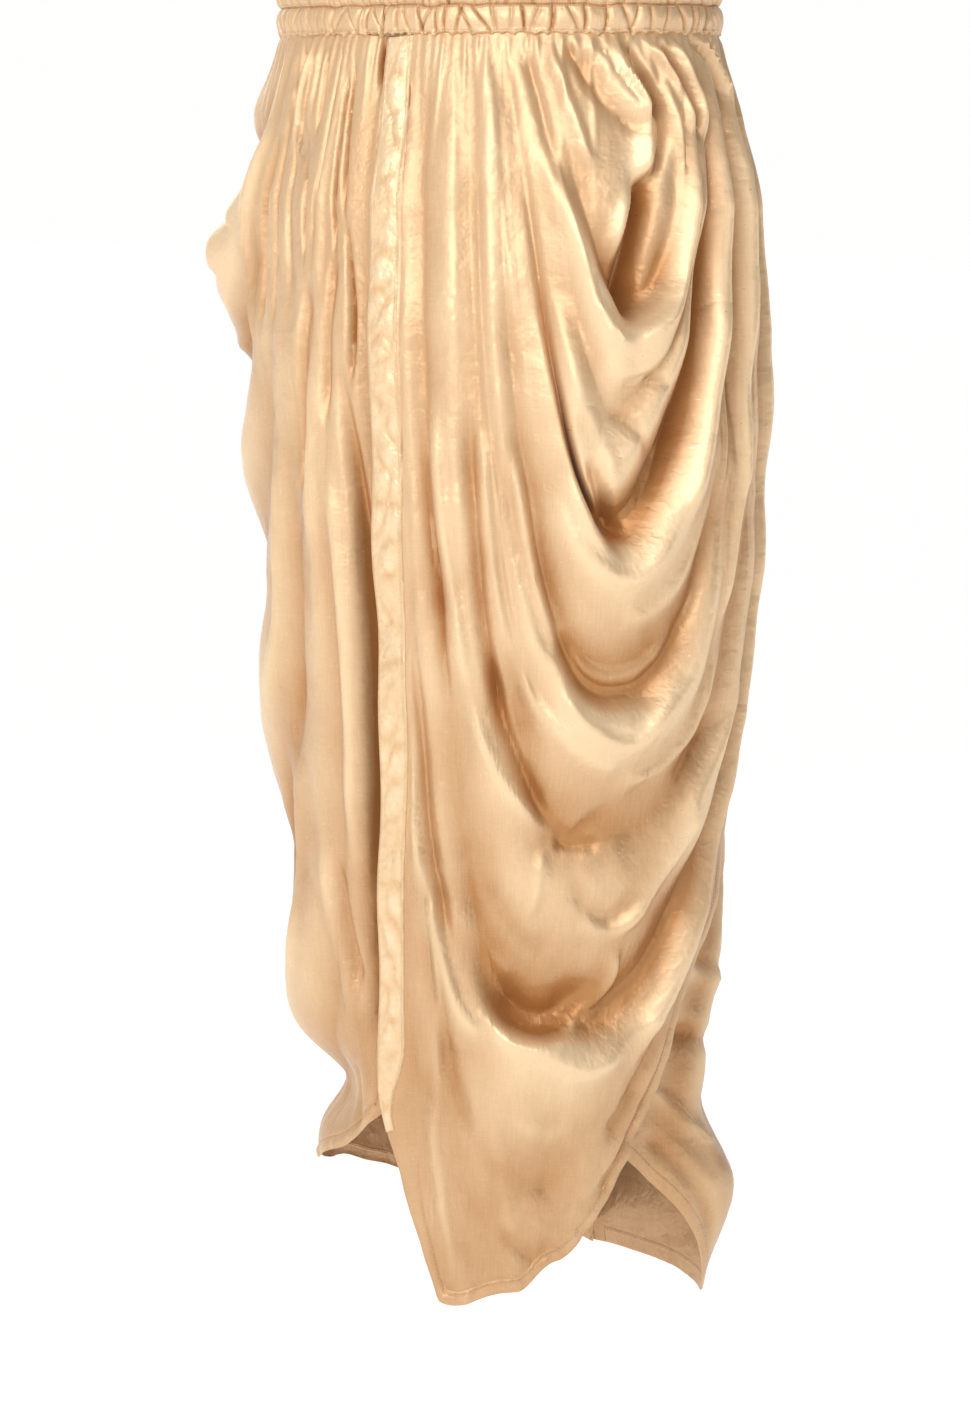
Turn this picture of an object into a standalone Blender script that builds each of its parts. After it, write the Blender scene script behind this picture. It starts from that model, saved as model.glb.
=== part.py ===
# Dhoti pants: gathered elastic waist, a cowl of hanging folds at each outer side, two ankle openings.
# Frame: metres, +Z up, origin at the middle of the waistband's ring; the front faces -Y and
# the wearer's left is +X. Angles run round the body from the front (0) towards the left (+).
import bpy
import numpy as np

# Cloth and seams, in metres
CLOTH = 0.0016
SEAM_GAP = 0.0003
LAP = 0.0045
LEFT_LOW_LAP = 0.0090
RIGHT_LOW_LAP = 0.0
FRONT_TROUGH = 0.0080
HEM_WIDTH = 0.012
STRIP_WIDTH = 0.033

# Waistband, in metres
BAND_HALF = 0.021
BAND_PUFF = 0.0045
BAND_GATHER = 0.0030
BAND_GATHERS = 84
BAND_LEVELS = (0.0, 0.45, 1.0, 1.55, 2.0)
SEAM_DROP = BAND_HALF + SEAM_GAP

# Folds: drops and stand-offs in metres, angles in degrees, arms as a share of a fold line
FOLD_RISE = (-0.012, 0.110)
LOW_STRETCH = (0.35, 1.0)
FOLD_STEPS = 3
LEFT_ALONG_STEPS = 15
RIGHT_ALONG_STEPS = 14
LEVEL_REACH = 0.020
GIRTH_RADIUS = 0.18
STRIP_END = -0.53
STRIP_TURN = (-0.54, -0.47)
TROUGH_START = (0.16, 0.42)
TROUGH_FINISH = (0.74, 0.86)
LAP_OVER = (1.5, 9.0)
LAP_UNDER = (9, 24)

# Ankles, in metres and degrees
NECK_DEPTH = 0.026
NECK_DROP = 0.852
NECK_SPREAD = 0.032
NECK_START = (12, 40)
NECK_FINISH = (80, 104)
FLARE_REACH = 0.034
FLARE_DEG = 122
FLARE_SPREAD = 22
FLARE_START = (0.860, 0.935)
FLARE_TURN_IN = (0.935, 1.03)
FLARE_TURN_IN_SHARE = 0.6
GUSSET_DROP = 0.990
GUSSET_LIFT = 0.035
GUSSET_FRONT_DEG = (18, 52)
GUSSET_BACK_DEG = (222, 178)

# Back pieces, in metres and degrees
BACK_FOLDS = 4
BACK_FOLD_HEIGHT = 0.0055
BACK_FOLD_START = (SEAM_DROP, 0.16)
BACK_FOLD_FINISH = (0.80, 0.95)
BACK_RADIUS = 0.15
LOW_LAP_START = (0.58, 0.68)
CENTRE_FADE = (0.93, 1.0)

# Finishes: base colours of the one satin in each place, roughness and metal share
LEFT_SATIN = (0.88, 0.68, 0.45, 1)
RIGHT_SATIN = (0.80, 0.60, 0.38, 1)
BAND_SATIN = (0.82, 0.62, 0.40, 1)
BACK_SATIN = (0.76, 0.55, 0.34, 1)
STRIP_SATIN = (0.90, 0.74, 0.52, 1)
GUSSET_SATIN = (0.70, 0.50, 0.30, 1)
SATIN_ROUGHNESS = 0.42
SATIN_METAL = 0.25

# The plain form under the folds: one row for each level, in millimetres and degrees
FORM_COLUMNS = ("drop", "side", "front", "turn", "shift_x", "shift_y")
FORM = np.array([
    (-40, 188, 138, 0, 0, 0),
    (20, 188, 138, 0, 0, 0),
    (80, 204, 152, 0, 0, 0),
    (150, 216, 166, 0, 0, 0),
    (250, 219, 173, 0, 2, 0),
    (380, 211, 169, 4, 6, 0),
    (500, 199, 159, 10, 8, 0),
    (620, 184, 147, 16, 8, 0),
    (720, 172, 137, 22, 8, 0),
    (820, 161, 127, 28, 8, 0),
    (920, 152, 118, 33, 8, 0),
    (1060, 146, 110, 36, 6, 0),
])

# Fold lines of a cowl, nested from the waist outwards. Each leaves the waist seam at front_deg,
# hangs to low_mm at low_deg and climbs back to the seam at back_deg. The bows set how square the
# two arms are. The out columns are how far the line stands off the plain form, in millimetres.
FOLD_COLUMNS = ("front_deg", "low_deg", "low_mm", "back_deg", "front_bow", "back_bow",
                "out_front", "out_low", "out_back")
LEFT_FOLDS = np.array([
    (60, 70, 21, 80, 2.0, 2.0, 2, 2, 2),
    (57, 68, 66, 83, 2.0, 2.0, 5, 16, 5),
    (54, 67, 110, 86, 2.0, 2.0, -3, -8, 0),
    (51, 66, 205, 88, 2.2, 2.0, 3, -14, -3),
    (48, 66, 260, 91, 2.2, 2.2, 7, 18, 6),
    (45, 65, 325, 93.5, 2.3, 2.3, -4, 4, -2),
    (42, 63, 388, 96, 2.4, 2.4, 7, 20, 6),
    (39, 64, 418, 98.5, 2.5, 2.5, -4, -7, -4),
    (36, 63, 480, 101, 2.6, 2.5, 7, 20, 7),
    (32.5, 66, 520, 103.5, 2.8, 2.5, -4, 0, -3),
    (29, 70, 590, 106, 2.8, 2.6, 7, 19, 7),
    (25.5, 68, 640, 108.5, 3.0, 2.7, -4, -3, -3),
    (22, 64, 716, 111, 3.2, 2.8, 6, 12, 5),
    (19.5, 58, 765, 113.5, 3.4, 2.8, -4, -8, -3),
    (17, 56, 828, 116, 3.8, 2.8, 5, 15, 5),
    (14, 50, 896, 118, 4.2, 2.7, -3, -5, -2),
])
RIGHT_FOLDS = np.array([
    (62, 74, 21, 84, 2.0, 2.0, 2, 2, 2),
    (55, 74, 80, 92, 2.0, 2.0, 5, 14, 4),
    (50, 74, 130, 96, 2.2, 2.2, -5, -12, -2),
    (45, 72, 202, 100, 2.4, 2.4, 8, 34, 8),
    (40, 72, 285, 103, 2.6, 2.6, -5, -4, -3),
    (35, 72, 360, 106, 3.0, 2.8, 7, 13, 5),
    (30, 72, 440, 109, 3.2, 3.0, -7, -6, -3),
    (25, 72, 575, 112, 3.4, 3.2, 7, 12, 5),
    (20, 72, 670, 114, 3.6, 3.4, -6, -4, -3),
    (15, 71, 795, 116, 4.2, 3.6, 7, 13, 4),
    (10, 70, 850, 118, 4.6, 3.8, -4, -2, 2),
])

# Outer edges of the two leg pieces: along runs from the front waist (-1) by the lowest point to
# the back waist (1), with each point's angle and drop
EDGE_COLUMNS = ("along", "deg", "drop_mm")
LEFT_FRONT_ROWS = 7
LEFT_EDGE = np.array([
    (-1.000, 1.0, 21), (-0.933, 2.6, 110), (-0.800, 2.0, 320), (-0.667, -1.5, 580), (-0.600, -6.5, 725),
    (-0.533, -9.3, 867), (-0.467, 11.0, 1012),
    (-0.40, 22, 1014), (-0.25, 45, 1003), (-0.10, 62, 973), (0.00, 70, 955), (0.15, 77, 930),
    (0.28, 83.5, 893), (0.38, 90.6, 849), (0.46, 105, 730), (0.52, 119, 640), (0.60, 127, 560),
    (0.75, 128, 350), (0.90, 128, 120), (1.00, 128, 21),
])
RIGHT_EDGE = np.array([
    (-1.00, -7.0, 21), (-0.94, -7.0, 100), (-0.82, -6.5, 300), (-0.70, -4.0, 480), (-0.62, 1.0, 640),
    (-0.55, 5.0, 780), (-0.50, 8.0, 864), (-0.35, 24, 892), (-0.20, 40, 912), (0.00, 66, 925),
    (0.20, 90, 940), (0.40, 112, 955), (0.47, 122, 940), (0.55, 127, 800), (0.75, 128, 420),
    (0.90, 128, 140), (1.00, 128, 21),
])

# The back pieces' lapped edges and hems: angle and drop pairs, the edges by drop and the hems by angle
LEFT_LAP_EDGE = np.array([(21, 122), (560, 121), (640, 112), (730, 98), (849, 84), (893, 80), (1100, 76)])
LEFT_HEM = np.array([(74, 885), (84, 897), (91, 912), (99, 939), (110, 980), (118, 1012), (126, 1028),
                     (145, 1018), (180, 1008)])
RIGHT_LAP_EDGE = np.array([(21, 122), (800, 121), (940, 116), (1100, 112)])
RIGHT_HEM = np.array([(110, 950), (130, 965), (180, 1010)])


def column(table, names, name):
    """One named column of a table."""
    return table[:, names.index(name)]


def form_at(drop):
    """Half widths, turn and shift of the plain form at a drop below the waist (metres)."""
    level = column(FORM, FORM_COLUMNS, "drop") / 1000
    return [np.interp(drop, level, column(FORM, FORM_COLUMNS, name))
            for name in ("side", "front", "turn", "shift_x", "shift_y")]


def on_form(deg, drop, out):
    """Point at an angle and a drop: an ellipse's radius, plus out, turned and shifted."""
    side, front, turn, shift_x, shift_y = form_at(drop)
    lean = np.radians(deg - turn)
    radius = 0.001 / np.hypot(np.sin(lean) / side, np.cos(lean) / front) + out
    ray = np.radians(deg)
    return np.stack([radius * np.sin(ray) + shift_x / 1000,
                     -radius * np.cos(ray) + shift_y / 1000, -drop], axis=-1)


def smooth(low, high, value):
    """Eased step from 0 at low to 1 at high."""
    share = np.clip((value - low) / (high - low), 0, 1)
    return share * share * (3 - 2 * share)


def between_rows(table, place):
    """Shape columns follow a cubic through the rows; the out columns ease from row to row."""
    last = len(table) - 1
    index = np.clip(np.floor(place).astype(int), 0, last - 1)
    share = (place - index)[:, None]
    before = table[np.maximum(index - 1, 0)]
    here = table[index]
    there = table[index + 1]
    after = table[np.minimum(index + 2, last)]
    slope_here = (there - before) / 2
    slope_there = (after - here) / 2
    passed = smooth(0, 1, share)
    eased = here + (there - here) * passed
    leaving = share * (1 - share) ** 2 * slope_here
    arriving = share ** 2 * (1 - share) * slope_there
    cubic = eased + leaving - arriving
    shapes = FOLD_COLUMNS.index("out_front")
    return np.concatenate([cubic[:, :shapes], eased[:, shapes:]], axis=1)


def fold_lines(table, place, along):
    """Angle, drop and stand-off on the fold lines: each arm is a quarter of a rounded square."""
    row = {name: values[:, None] for name, values in zip(FOLD_COLUMNS, between_rows(table, place).T)}
    swing = np.radians(90 * (1 - np.abs(along)))[None, :]
    back = (along > 0)[None, :]
    bow = np.where(back, row["back_bow"], row["front_bow"])
    reach = np.where(back, row["back_deg"], row["front_deg"]) - row["low_deg"]
    size = (np.cos(swing) ** bow + np.sin(swing) ** bow) ** (1 / bow)
    across = np.cos(swing) / size
    down = np.sin(swing) / size
    deg = row["low_deg"] + reach * across
    drop = SEAM_DROP + (row["low_mm"] / 1000 - SEAM_DROP) * down
    low_share = smooth(*LOW_STRETCH, down) * (1 - smooth(*LOW_STRETCH, across))
    arm = np.where(back, row["out_back"], row["out_front"])
    out = arm + (row["out_low"] - arm) * low_share
    out = out * smooth(SEAM_DROP + FOLD_RISE[0], SEAM_DROP + FOLD_RISE[1], drop)
    return deg, drop, out / 1000


def edge_line(table, along, inset):
    """The piece's edge, moved inwards on the cloth by inset (metres)."""
    knots = column(table, EDGE_COLUMNS, "along")
    deg = np.interp(along, knots, column(table, EDGE_COLUMNS, "deg"))
    drop = np.interp(along, knots, column(table, EDGE_COLUMNS, "drop_mm")) / 1000
    girth = np.radians(deg) * GIRTH_RADIUS
    run = np.gradient(girth)
    fall = np.gradient(drop)
    length = np.hypot(run, fall)
    drop_in = drop - inset * run / length
    girth_in = girth + inset * fall / length
    return np.degrees(girth_in / GIRTH_RADIUS), np.maximum(drop_in, SEAM_DROP)


def ankle_neck(deg, drop):
    """How far the right piece draws in above its hem, then flares again (metres)."""
    level = np.exp(-((drop - NECK_DROP) / NECK_SPREAD) ** 2)
    around = smooth(*NECK_START, deg) * (1 - smooth(*NECK_FINISH, deg))
    return -NECK_DEPTH * level * around


def flare(deg, drop):
    """How far the left back piece stands out at its hem's outer corner (metres)."""
    around = np.exp(-((deg - FLARE_DEG) / FLARE_SPREAD) ** 2)
    turned_in = 1 - FLARE_TURN_IN_SHARE * smooth(*FLARE_TURN_IN, drop)
    return FLARE_REACH * around * smooth(*FLARE_START, drop) * turned_in


def under_lap(deg, drop):
    """The right piece sinks below the left piece's front edge, in a trough that fades at the hem."""
    arm = LEFT_EDGE[:LEFT_FRONT_ROWS]
    arm_drop = column(arm, EDGE_COLUMNS, "drop_mm") / 1000
    lap_deg = -np.interp(drop, arm_drop, column(arm, EDGE_COLUMNS, "deg"))
    trough = FRONT_TROUGH * smooth(*TROUGH_START, drop) * (1 - smooth(*TROUGH_FINISH, drop))
    return -(LAP + trough) * (1 - smooth(lap_deg + LAP_OVER[0], lap_deg + LAP_OVER[1], deg))


def drape(folds, edge, side, front_width, along_steps, tucked_under):
    """Outer points of a leg piece: nested fold lines, then the plain stretch out to its edge."""
    rows = len(folds)
    place = np.linspace(0, rows - 1, (rows - 1) * FOLD_STEPS + 1)
    along = np.linspace(-1, 1, 2 * along_steps + 1)
    deg, drop, out = fold_lines(folds, place, along)
    strip_share = 1 - smooth(*STRIP_TURN, along)
    inset = HEM_WIDTH + (front_width - HEM_WIDTH) * strip_share
    hem_deg, hem_drop = edge_line(edge, along, inset)
    mid_deg = (deg[-1] + hem_deg) / 2
    mid_drop = (drop[-1] + hem_drop) / 2
    edge_deg, edge_drop = edge_line(edge, along, 0.0)
    half_deg = (hem_deg + edge_deg) / 2
    half_drop = (hem_drop + edge_drop) / 2
    deg = np.vstack([deg, mid_deg, hem_deg, half_deg, edge_deg])
    drop = np.vstack([drop, mid_drop, hem_drop, half_drop, edge_drop])
    flat = np.zeros_like(along)
    out = np.vstack([out, out[-1] / 2, flat, flat, flat])
    if tucked_under:
        out = out + ankle_neck(deg, drop) + under_lap(deg, drop)
    return on_form(side * deg, drop, out), along


def moved(points, distance):
    """The grid moved along its own normals, level at the waist seam; positive is away from the body."""
    cell = np.cross(points[1:, 1:] - points[:-1, :-1], points[1:, :-1] - points[:-1, 1:])
    size = np.linalg.norm(cell, axis=-1, keepdims=True)
    cell = np.pad(cell / np.maximum(size, 1e-12), ((1, 1), (1, 1), (0, 0)), mode="edge")
    normal = cell[1:, 1:] + cell[:-1, 1:] + cell[1:, :-1] + cell[:-1, :-1]
    normal = normal / np.linalg.norm(normal, axis=-1, keepdims=True)
    normal = normal * np.sign(np.sum(normal[..., :2] * points[..., :2]))
    level = points * np.array([1.0, 1.0, 0.0])
    level = level / np.linalg.norm(level, axis=-1, keepdims=True)
    lean = smooth(SEAM_DROP, SEAM_DROP + LEVEL_REACH, -points[..., 2:])
    shifted = points + (level + (normal - level) * lean) * distance
    shifted[..., 2] = np.minimum(shifted[..., 2], -SEAM_DROP)
    return shifted


def wall(name, outer, inner, colour, closed=False):
    """A closed wall between two grids of points, as one object with its own material."""
    rows, columns = outer.shape[:2]
    count = rows * columns
    index = np.arange(count).reshape(rows, columns)
    if closed:
        index = np.hstack([index, index[:, :1]])
    near = index[:-1, :-1]
    far = index[1:, 1:]
    skin = np.concatenate([np.stack([near, index[1:, :-1], far], axis=-1).reshape(-1, 3),
                           np.stack([near, far, index[:-1, 1:]], axis=-1).reshape(-1, 3)])
    lining = skin[:, ::-1] + count
    rims = [index[0], index[-1][::-1]]
    if not closed:
        rims += [index[:, -1], index[:, 0][::-1]]
    faces = [skin, lining]
    for rim in rims:
        faces.append(np.stack([rim[:-1], rim[1:], rim[1:] + count], axis=-1))
        faces.append(np.stack([rim[:-1], rim[1:] + count, rim[:-1] + count], axis=-1))
    faces = np.concatenate(faces)
    points = np.concatenate([outer.reshape(-1, 3), inner.reshape(-1, 3)])
    corner = points[faces]
    if np.sum(np.cross(corner[:, 0], corner[:, 1]) * corner[:, 2]) < 0:
        faces = faces[:, ::-1]
    mesh = bpy.data.meshes.new(name)
    mesh.from_pydata(points.tolist(), [], faces.tolist())
    mesh.shade_smooth()
    mesh.update()
    piece = bpy.data.objects.new(name, mesh)
    bpy.context.scene.collection.objects.link(piece)
    material = bpy.data.materials.new(name + "_cloth")
    material.use_nodes = True
    shader = material.node_tree.nodes["Principled BSDF"]
    shader.inputs["Base Color"].default_value = colour
    shader.inputs["Roughness"].default_value = SATIN_ROUGHNESS
    shader.inputs["Metallic"].default_value = SATIN_METAL
    mesh.materials.append(material)
    return piece


def make_waistband():
    """Two puffed rows of gathers round the waist, with the stitched line between them."""
    levels = np.array(BAND_LEVELS)
    height = BAND_HALF * (1 - levels)
    puff = np.abs(np.sin(np.pi * levels))
    turn = np.arange(2 * BAND_GATHERS) * 180.0 / BAND_GATHERS
    ripple = np.where(np.arange(2 * BAND_GATHERS) % 2 == 0, 1.0, -1.0)
    out = puff[:, None] * (BAND_PUFF + BAND_GATHER * ripple[None, :])
    deg = np.broadcast_to(turn, out.shape)
    drop = np.broadcast_to(-height[:, None], out.shape)
    outer = on_form(deg, drop, out)
    inner = on_form(deg, drop, np.full(out.shape, -CLOTH))
    return wall("waistband", outer, inner, BAND_SATIN, closed=True)


def make_back(name, side, low_lap, lap_edge, hem):
    """A back piece: soft upright folds from the waist to its hem, lapped under the side's edge."""
    down = np.linspace(0, 1, 13)[:, None]
    across = np.linspace(0, 1, 6 * BACK_FOLDS + 1)[None, :]
    last = 180 - np.degrees(SEAM_GAP / 2 / BACK_RADIUS)
    lap_drop, lap_deg = lap_edge.T
    hem_deg, hem_drop = hem.T
    deg = lap_deg[0] + (last - lap_deg[0]) * across
    drop = SEAM_DROP + down * (np.interp(deg, hem_deg, hem_drop) / 1000 - SEAM_DROP)
    for _ in range(3):  # the hem and the lapped edge depend on each other
        start = np.interp(drop * 1000, lap_drop, lap_deg)
        deg = start + (last - start) * across
        drop = SEAM_DROP + down * (np.interp(deg, hem_deg, hem_drop) / 1000 - SEAM_DROP)
    past_lap = smooth(*LAP_UNDER, deg - start)
    clear = past_lap * (1 - smooth(*CENTRE_FADE, across))
    waves = BACK_FOLD_HEIGHT * np.sin(2 * np.pi * BACK_FOLDS * across)
    fold = waves * clear * smooth(*BACK_FOLD_START, drop) * (1 - smooth(*BACK_FOLD_FINISH, drop))
    lap = -(LAP + low_lap * smooth(*LOW_LAP_START, drop)) * (1 - past_lap)
    out = fold + lap + flare(side * deg, drop)
    outer = on_form(side * deg, drop, out)
    return wall(name, outer, on_form(side * deg, drop, out - CLOTH), BACK_SATIN)


def make_front_strip(points, along):
    """The facing strip: the left piece's own points beside its front edge, moved out."""
    front = along <= STRIP_END
    lain_on = points[-3:, front]
    under = moved(lain_on, SEAM_GAP)
    return wall("front_strip", moved(under, CLOTH), under, STRIP_SATIN)


def make_gusset():
    """The bottom piece between the ankle openings, from the front hem to the back hem."""
    across = np.linspace(0, 1, 8)[None, :]
    along = np.linspace(0, 1, 9)[:, None]
    level = np.zeros_like(across)
    front_deg = GUSSET_FRONT_DEG[0] + (GUSSET_FRONT_DEG[1] - GUSSET_FRONT_DEG[0]) * across
    back_deg = GUSSET_BACK_DEG[0] + (GUSSET_BACK_DEG[1] - GUSSET_BACK_DEG[0]) * across
    front = on_form(front_deg, GUSSET_DROP + level, level - CLOTH - 3 * SEAM_GAP)
    back = on_form(back_deg, GUSSET_DROP + level, level - CLOTH - 2 * SEAM_GAP)
    lower = front + (back - front) * along[..., None]
    lower[..., 2] += GUSSET_LIFT * np.sin(np.pi * along)
    upper = lower + np.array([0.0, 0.0, CLOTH])
    return wall("gusset", lower, upper, GUSSET_SATIN)


for leftover in list(bpy.data.objects):
    bpy.data.objects.remove(leftover, do_unlink=True)

left_outer, left_along = drape(LEFT_FOLDS, LEFT_EDGE, 1, STRIP_WIDTH, LEFT_ALONG_STEPS, False)
wall("left_drape", left_outer, moved(left_outer, -CLOTH), LEFT_SATIN)

right_outer, right_along = drape(RIGHT_FOLDS, RIGHT_EDGE, -1, HEM_WIDTH, RIGHT_ALONG_STEPS, True)
wall("right_drape", right_outer, moved(right_outer, -CLOTH), RIGHT_SATIN)

make_front_strip(left_outer, left_along)
make_waistband()
make_back("back_left", 1, LEFT_LOW_LAP, LEFT_LAP_EDGE, LEFT_HEM)
make_back("back_right", -1, RIGHT_LOW_LAP, RIGHT_LAP_EDGE, RIGHT_HEM)
make_gusset()
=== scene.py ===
import math

import bpy
import numpy as np
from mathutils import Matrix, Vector


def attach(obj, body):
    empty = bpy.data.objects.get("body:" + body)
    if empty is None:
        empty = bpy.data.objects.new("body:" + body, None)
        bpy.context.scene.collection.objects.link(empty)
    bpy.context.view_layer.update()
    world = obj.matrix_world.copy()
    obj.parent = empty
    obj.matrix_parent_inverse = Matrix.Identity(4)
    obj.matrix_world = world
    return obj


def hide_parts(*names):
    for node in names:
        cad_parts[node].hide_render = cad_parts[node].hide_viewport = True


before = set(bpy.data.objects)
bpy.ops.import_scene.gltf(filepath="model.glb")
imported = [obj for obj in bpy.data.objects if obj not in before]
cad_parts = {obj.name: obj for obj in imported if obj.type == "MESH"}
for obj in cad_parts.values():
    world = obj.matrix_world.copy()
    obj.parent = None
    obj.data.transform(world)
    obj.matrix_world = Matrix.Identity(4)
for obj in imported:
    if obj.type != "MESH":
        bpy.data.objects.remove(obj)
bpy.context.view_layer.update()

# The view: a standing eye a few metres off, level with the hips and turned towards the wearer's
# left, with the top of the waistband just out of the picture.
VIEW_TURN = math.radians(38)
VIEW_DISTANCE = 4.0
EYE_HEIGHT = -0.090
AIM_HEIGHT = -0.550
AIM_SIDE = -0.0096
PICTURE_ROWS = 1404
ROW_HEIGHT = 0.0008
FIELD_HEIGHT = PICTURE_ROWS * ROW_HEIGHT
SENSOR_HEIGHT = 24.0

side_way = Vector((math.cos(VIEW_TURN), math.sin(VIEW_TURN), 0))
toward_eye = Vector((math.sin(VIEW_TURN), -math.cos(VIEW_TURN), 0))
eye = toward_eye * VIEW_DISTANCE + side_way * AIM_SIDE + Vector((0, 0, EYE_HEIGHT))
aim = side_way * AIM_SIDE + Vector((0, 0, AIM_HEIGHT))
camera_data = bpy.data.cameras.new("camera")
camera_data.sensor_fit = "VERTICAL"
camera_data.sensor_height = SENSOR_HEIGHT
camera_data.lens = (aim - eye).length / FIELD_HEIGHT * SENSOR_HEIGHT
camera = bpy.data.objects.new("camera", camera_data)
camera.location = eye
camera.rotation_euler = (aim - eye).to_track_quat("-Z", "Y").to_euler()
bpy.context.scene.collection.objects.link(camera)
bpy.context.scene.camera = camera

# The studio: a wide pale floor under the hem, a pale surround that is dimmer on the wearer's left
# and brighter behind the piece, a big soft key light in front and three weaker soft lights around.
FLOOR_HEIGHT = -1.150
FLOOR_HALF = 30.0
FLOOR_GREY = 0.50
FLOOR_GLOW = 0.68
LIGHTS = {
    "key": {"turn": 16, "height": 1.25, "away": 2.4, "size": 1.9, "power": 37, "colour": (1, 0.98, 0.96)},
    "front": {"turn": 66, "height": 1.0, "away": 3.6, "size": 0.9, "power": 8, "colour": (1, 0.98, 0.95)},
    "side": {"turn": 138, "height": 0.4, "away": 3.2, "size": 1.0, "power": 5.5, "colour": (1, 0.96, 0.94)},
    "back": {"turn": 235, "height": 1.2, "away": 3.4, "size": 2.0, "power": 18, "colour": (1, 0.97, 0.94)},
}

floor_mesh = bpy.data.meshes.new("studio_floor")
floor_mesh.from_pydata([(x * FLOOR_HALF, y * FLOOR_HALF, FLOOR_HEIGHT)
                        for x, y in ((-1, -1), (1, -1), (1, 1), (-1, 1))], [], [(0, 1, 2, 3)])
studio_floor = bpy.data.objects.new("studio_floor", floor_mesh)
bpy.context.scene.collection.objects.link(studio_floor)
floor_finish = bpy.data.materials.new("pale_floor")
floor_finish.use_nodes = True
floor_shader = floor_finish.node_tree.nodes["Principled BSDF"]
floor_shader.inputs["Base Color"].default_value = (FLOOR_GREY, FLOOR_GREY, FLOOR_GREY, 1)
floor_shader.inputs["Roughness"].default_value = 0.8
floor_shader.inputs["Emission Color"].default_value = (1, 1, 1, 1)
floor_shader.inputs["Emission Strength"].default_value = FLOOR_GLOW
floor_mesh.materials.append(floor_finish)

SHADE_TURN = math.radians(112)
SHADE_EDGES = (-0.1, 0.95)
SURROUND_BRIGHT = 0.68
SURROUND_SHADE = 0.13
BACKDROP_TURN = VIEW_TURN + math.pi
BACKDROP_EDGES = (0.80, 0.955)
BACKDROP_LIFT = 0.32
world = bpy.data.worlds.new("pale_surround")
world.use_nodes = True
sky = world.node_tree
sky_way = sky.nodes.new("ShaderNodeTexCoord")


def sky_ease(turn, edges, start, end):
    """Strength that eases from start to end as the way looked along nears a turn's heading."""
    toward = sky.nodes.new("ShaderNodeVectorMath")
    toward.operation = "DOT_PRODUCT"
    toward.inputs[1].default_value = (math.sin(turn), -math.cos(turn), 0)
    sky.links.new(sky_way.outputs["Generated"], toward.inputs[0])
    strength = sky.nodes.new("ShaderNodeMapRange")
    strength.interpolation_type = "SMOOTHSTEP"
    for socket, value in zip(("From Min", "From Max", "To Min", "To Max"), (*edges, start, end)):
        strength.inputs[socket].default_value = value
    sky.links.new(toward.outputs["Value"], strength.inputs["Value"])
    return strength.outputs["Result"]


sky_total = sky.nodes.new("ShaderNodeMath")
sky_total.operation = "ADD"
sky.links.new(sky_ease(SHADE_TURN, SHADE_EDGES, SURROUND_BRIGHT, SURROUND_SHADE), sky_total.inputs[0])
sky.links.new(sky_ease(BACKDROP_TURN, BACKDROP_EDGES, 0.0, BACKDROP_LIFT), sky_total.inputs[1])
sky.links.new(sky_total.outputs[0], sky.nodes["Background"].inputs["Strength"])
sky.nodes["Background"].inputs["Color"].default_value = (1.0, 0.995, 0.99, 1)
bpy.context.scene.world = world
bpy.context.scene.view_settings.view_transform = "Standard"

light_aim = Vector((0, 0, AIM_HEIGHT))
for light_name, light in LIGHTS.items():
    lamp = bpy.data.lights.new(light_name, "AREA")
    lamp.energy = light["power"]
    lamp.size = light["size"]
    lamp.color = light["colour"]
    holder = bpy.data.objects.new(light_name, lamp)
    light_turn = math.radians(light["turn"])
    holder.location = (math.sin(light_turn) * light["away"], -math.cos(light_turn) * light["away"],
                       AIM_HEIGHT + light["height"])
    holder.rotation_euler = (light_aim - holder.location).to_track_quat("-Z", "Y").to_euler()
    bpy.context.scene.collection.objects.link(holder)


# Left drape: the wearer's left leg piece, one wide cut of light metallic satin. It laps over the
# right piece at the centre front, and its spare width hangs in nested cowl folds at the hip.
CLOTH = 0.0011
SEAM_DROP = 0.0213
UNROLL = 0.19
STRIP_WIDTH = 0.030
HEM_WIDTH = 0.011
HEM_ROWS = 4
DROOP = -0.15
TROUGH_SHARPNESS = 1.75
LOW_SHADE = 0.30
FRONT_EASE = 0.36
GATHER_STEP = 3.3
STRIP_END = -0.527
STRIP_FADE = (-0.54, -0.47)
PANEL_SWAY = 0.0016
SWAY_SEED = 8
SWAY_SIZE = 0.11

FORM_COLUMNS = ("drop", "side", "front", "turn", "shift_x", "shift_y")
FORM = np.array([
    (-40, 188, 138, 0, 0, 0),
    (20, 188, 138, 0, 0, 0),
    (80, 204, 152, 0, 0, 0),
    (150, 216, 166, 0, 0, 0),
    (250, 219, 173, 0, 2, 0),
    (380, 211, 169, 4, 6, 0),
    (500, 199, 159, 10, 8, 0),
    (620, 184, 147, 16, 8, 0),
    (720, 172, 137, 22, 8, 0),
    (820, 161, 127, 28, 8, 0),
    (920, 152, 118, 33, 8, 0),
    (1060, 146, 110, 36, 6, 0),
])

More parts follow.
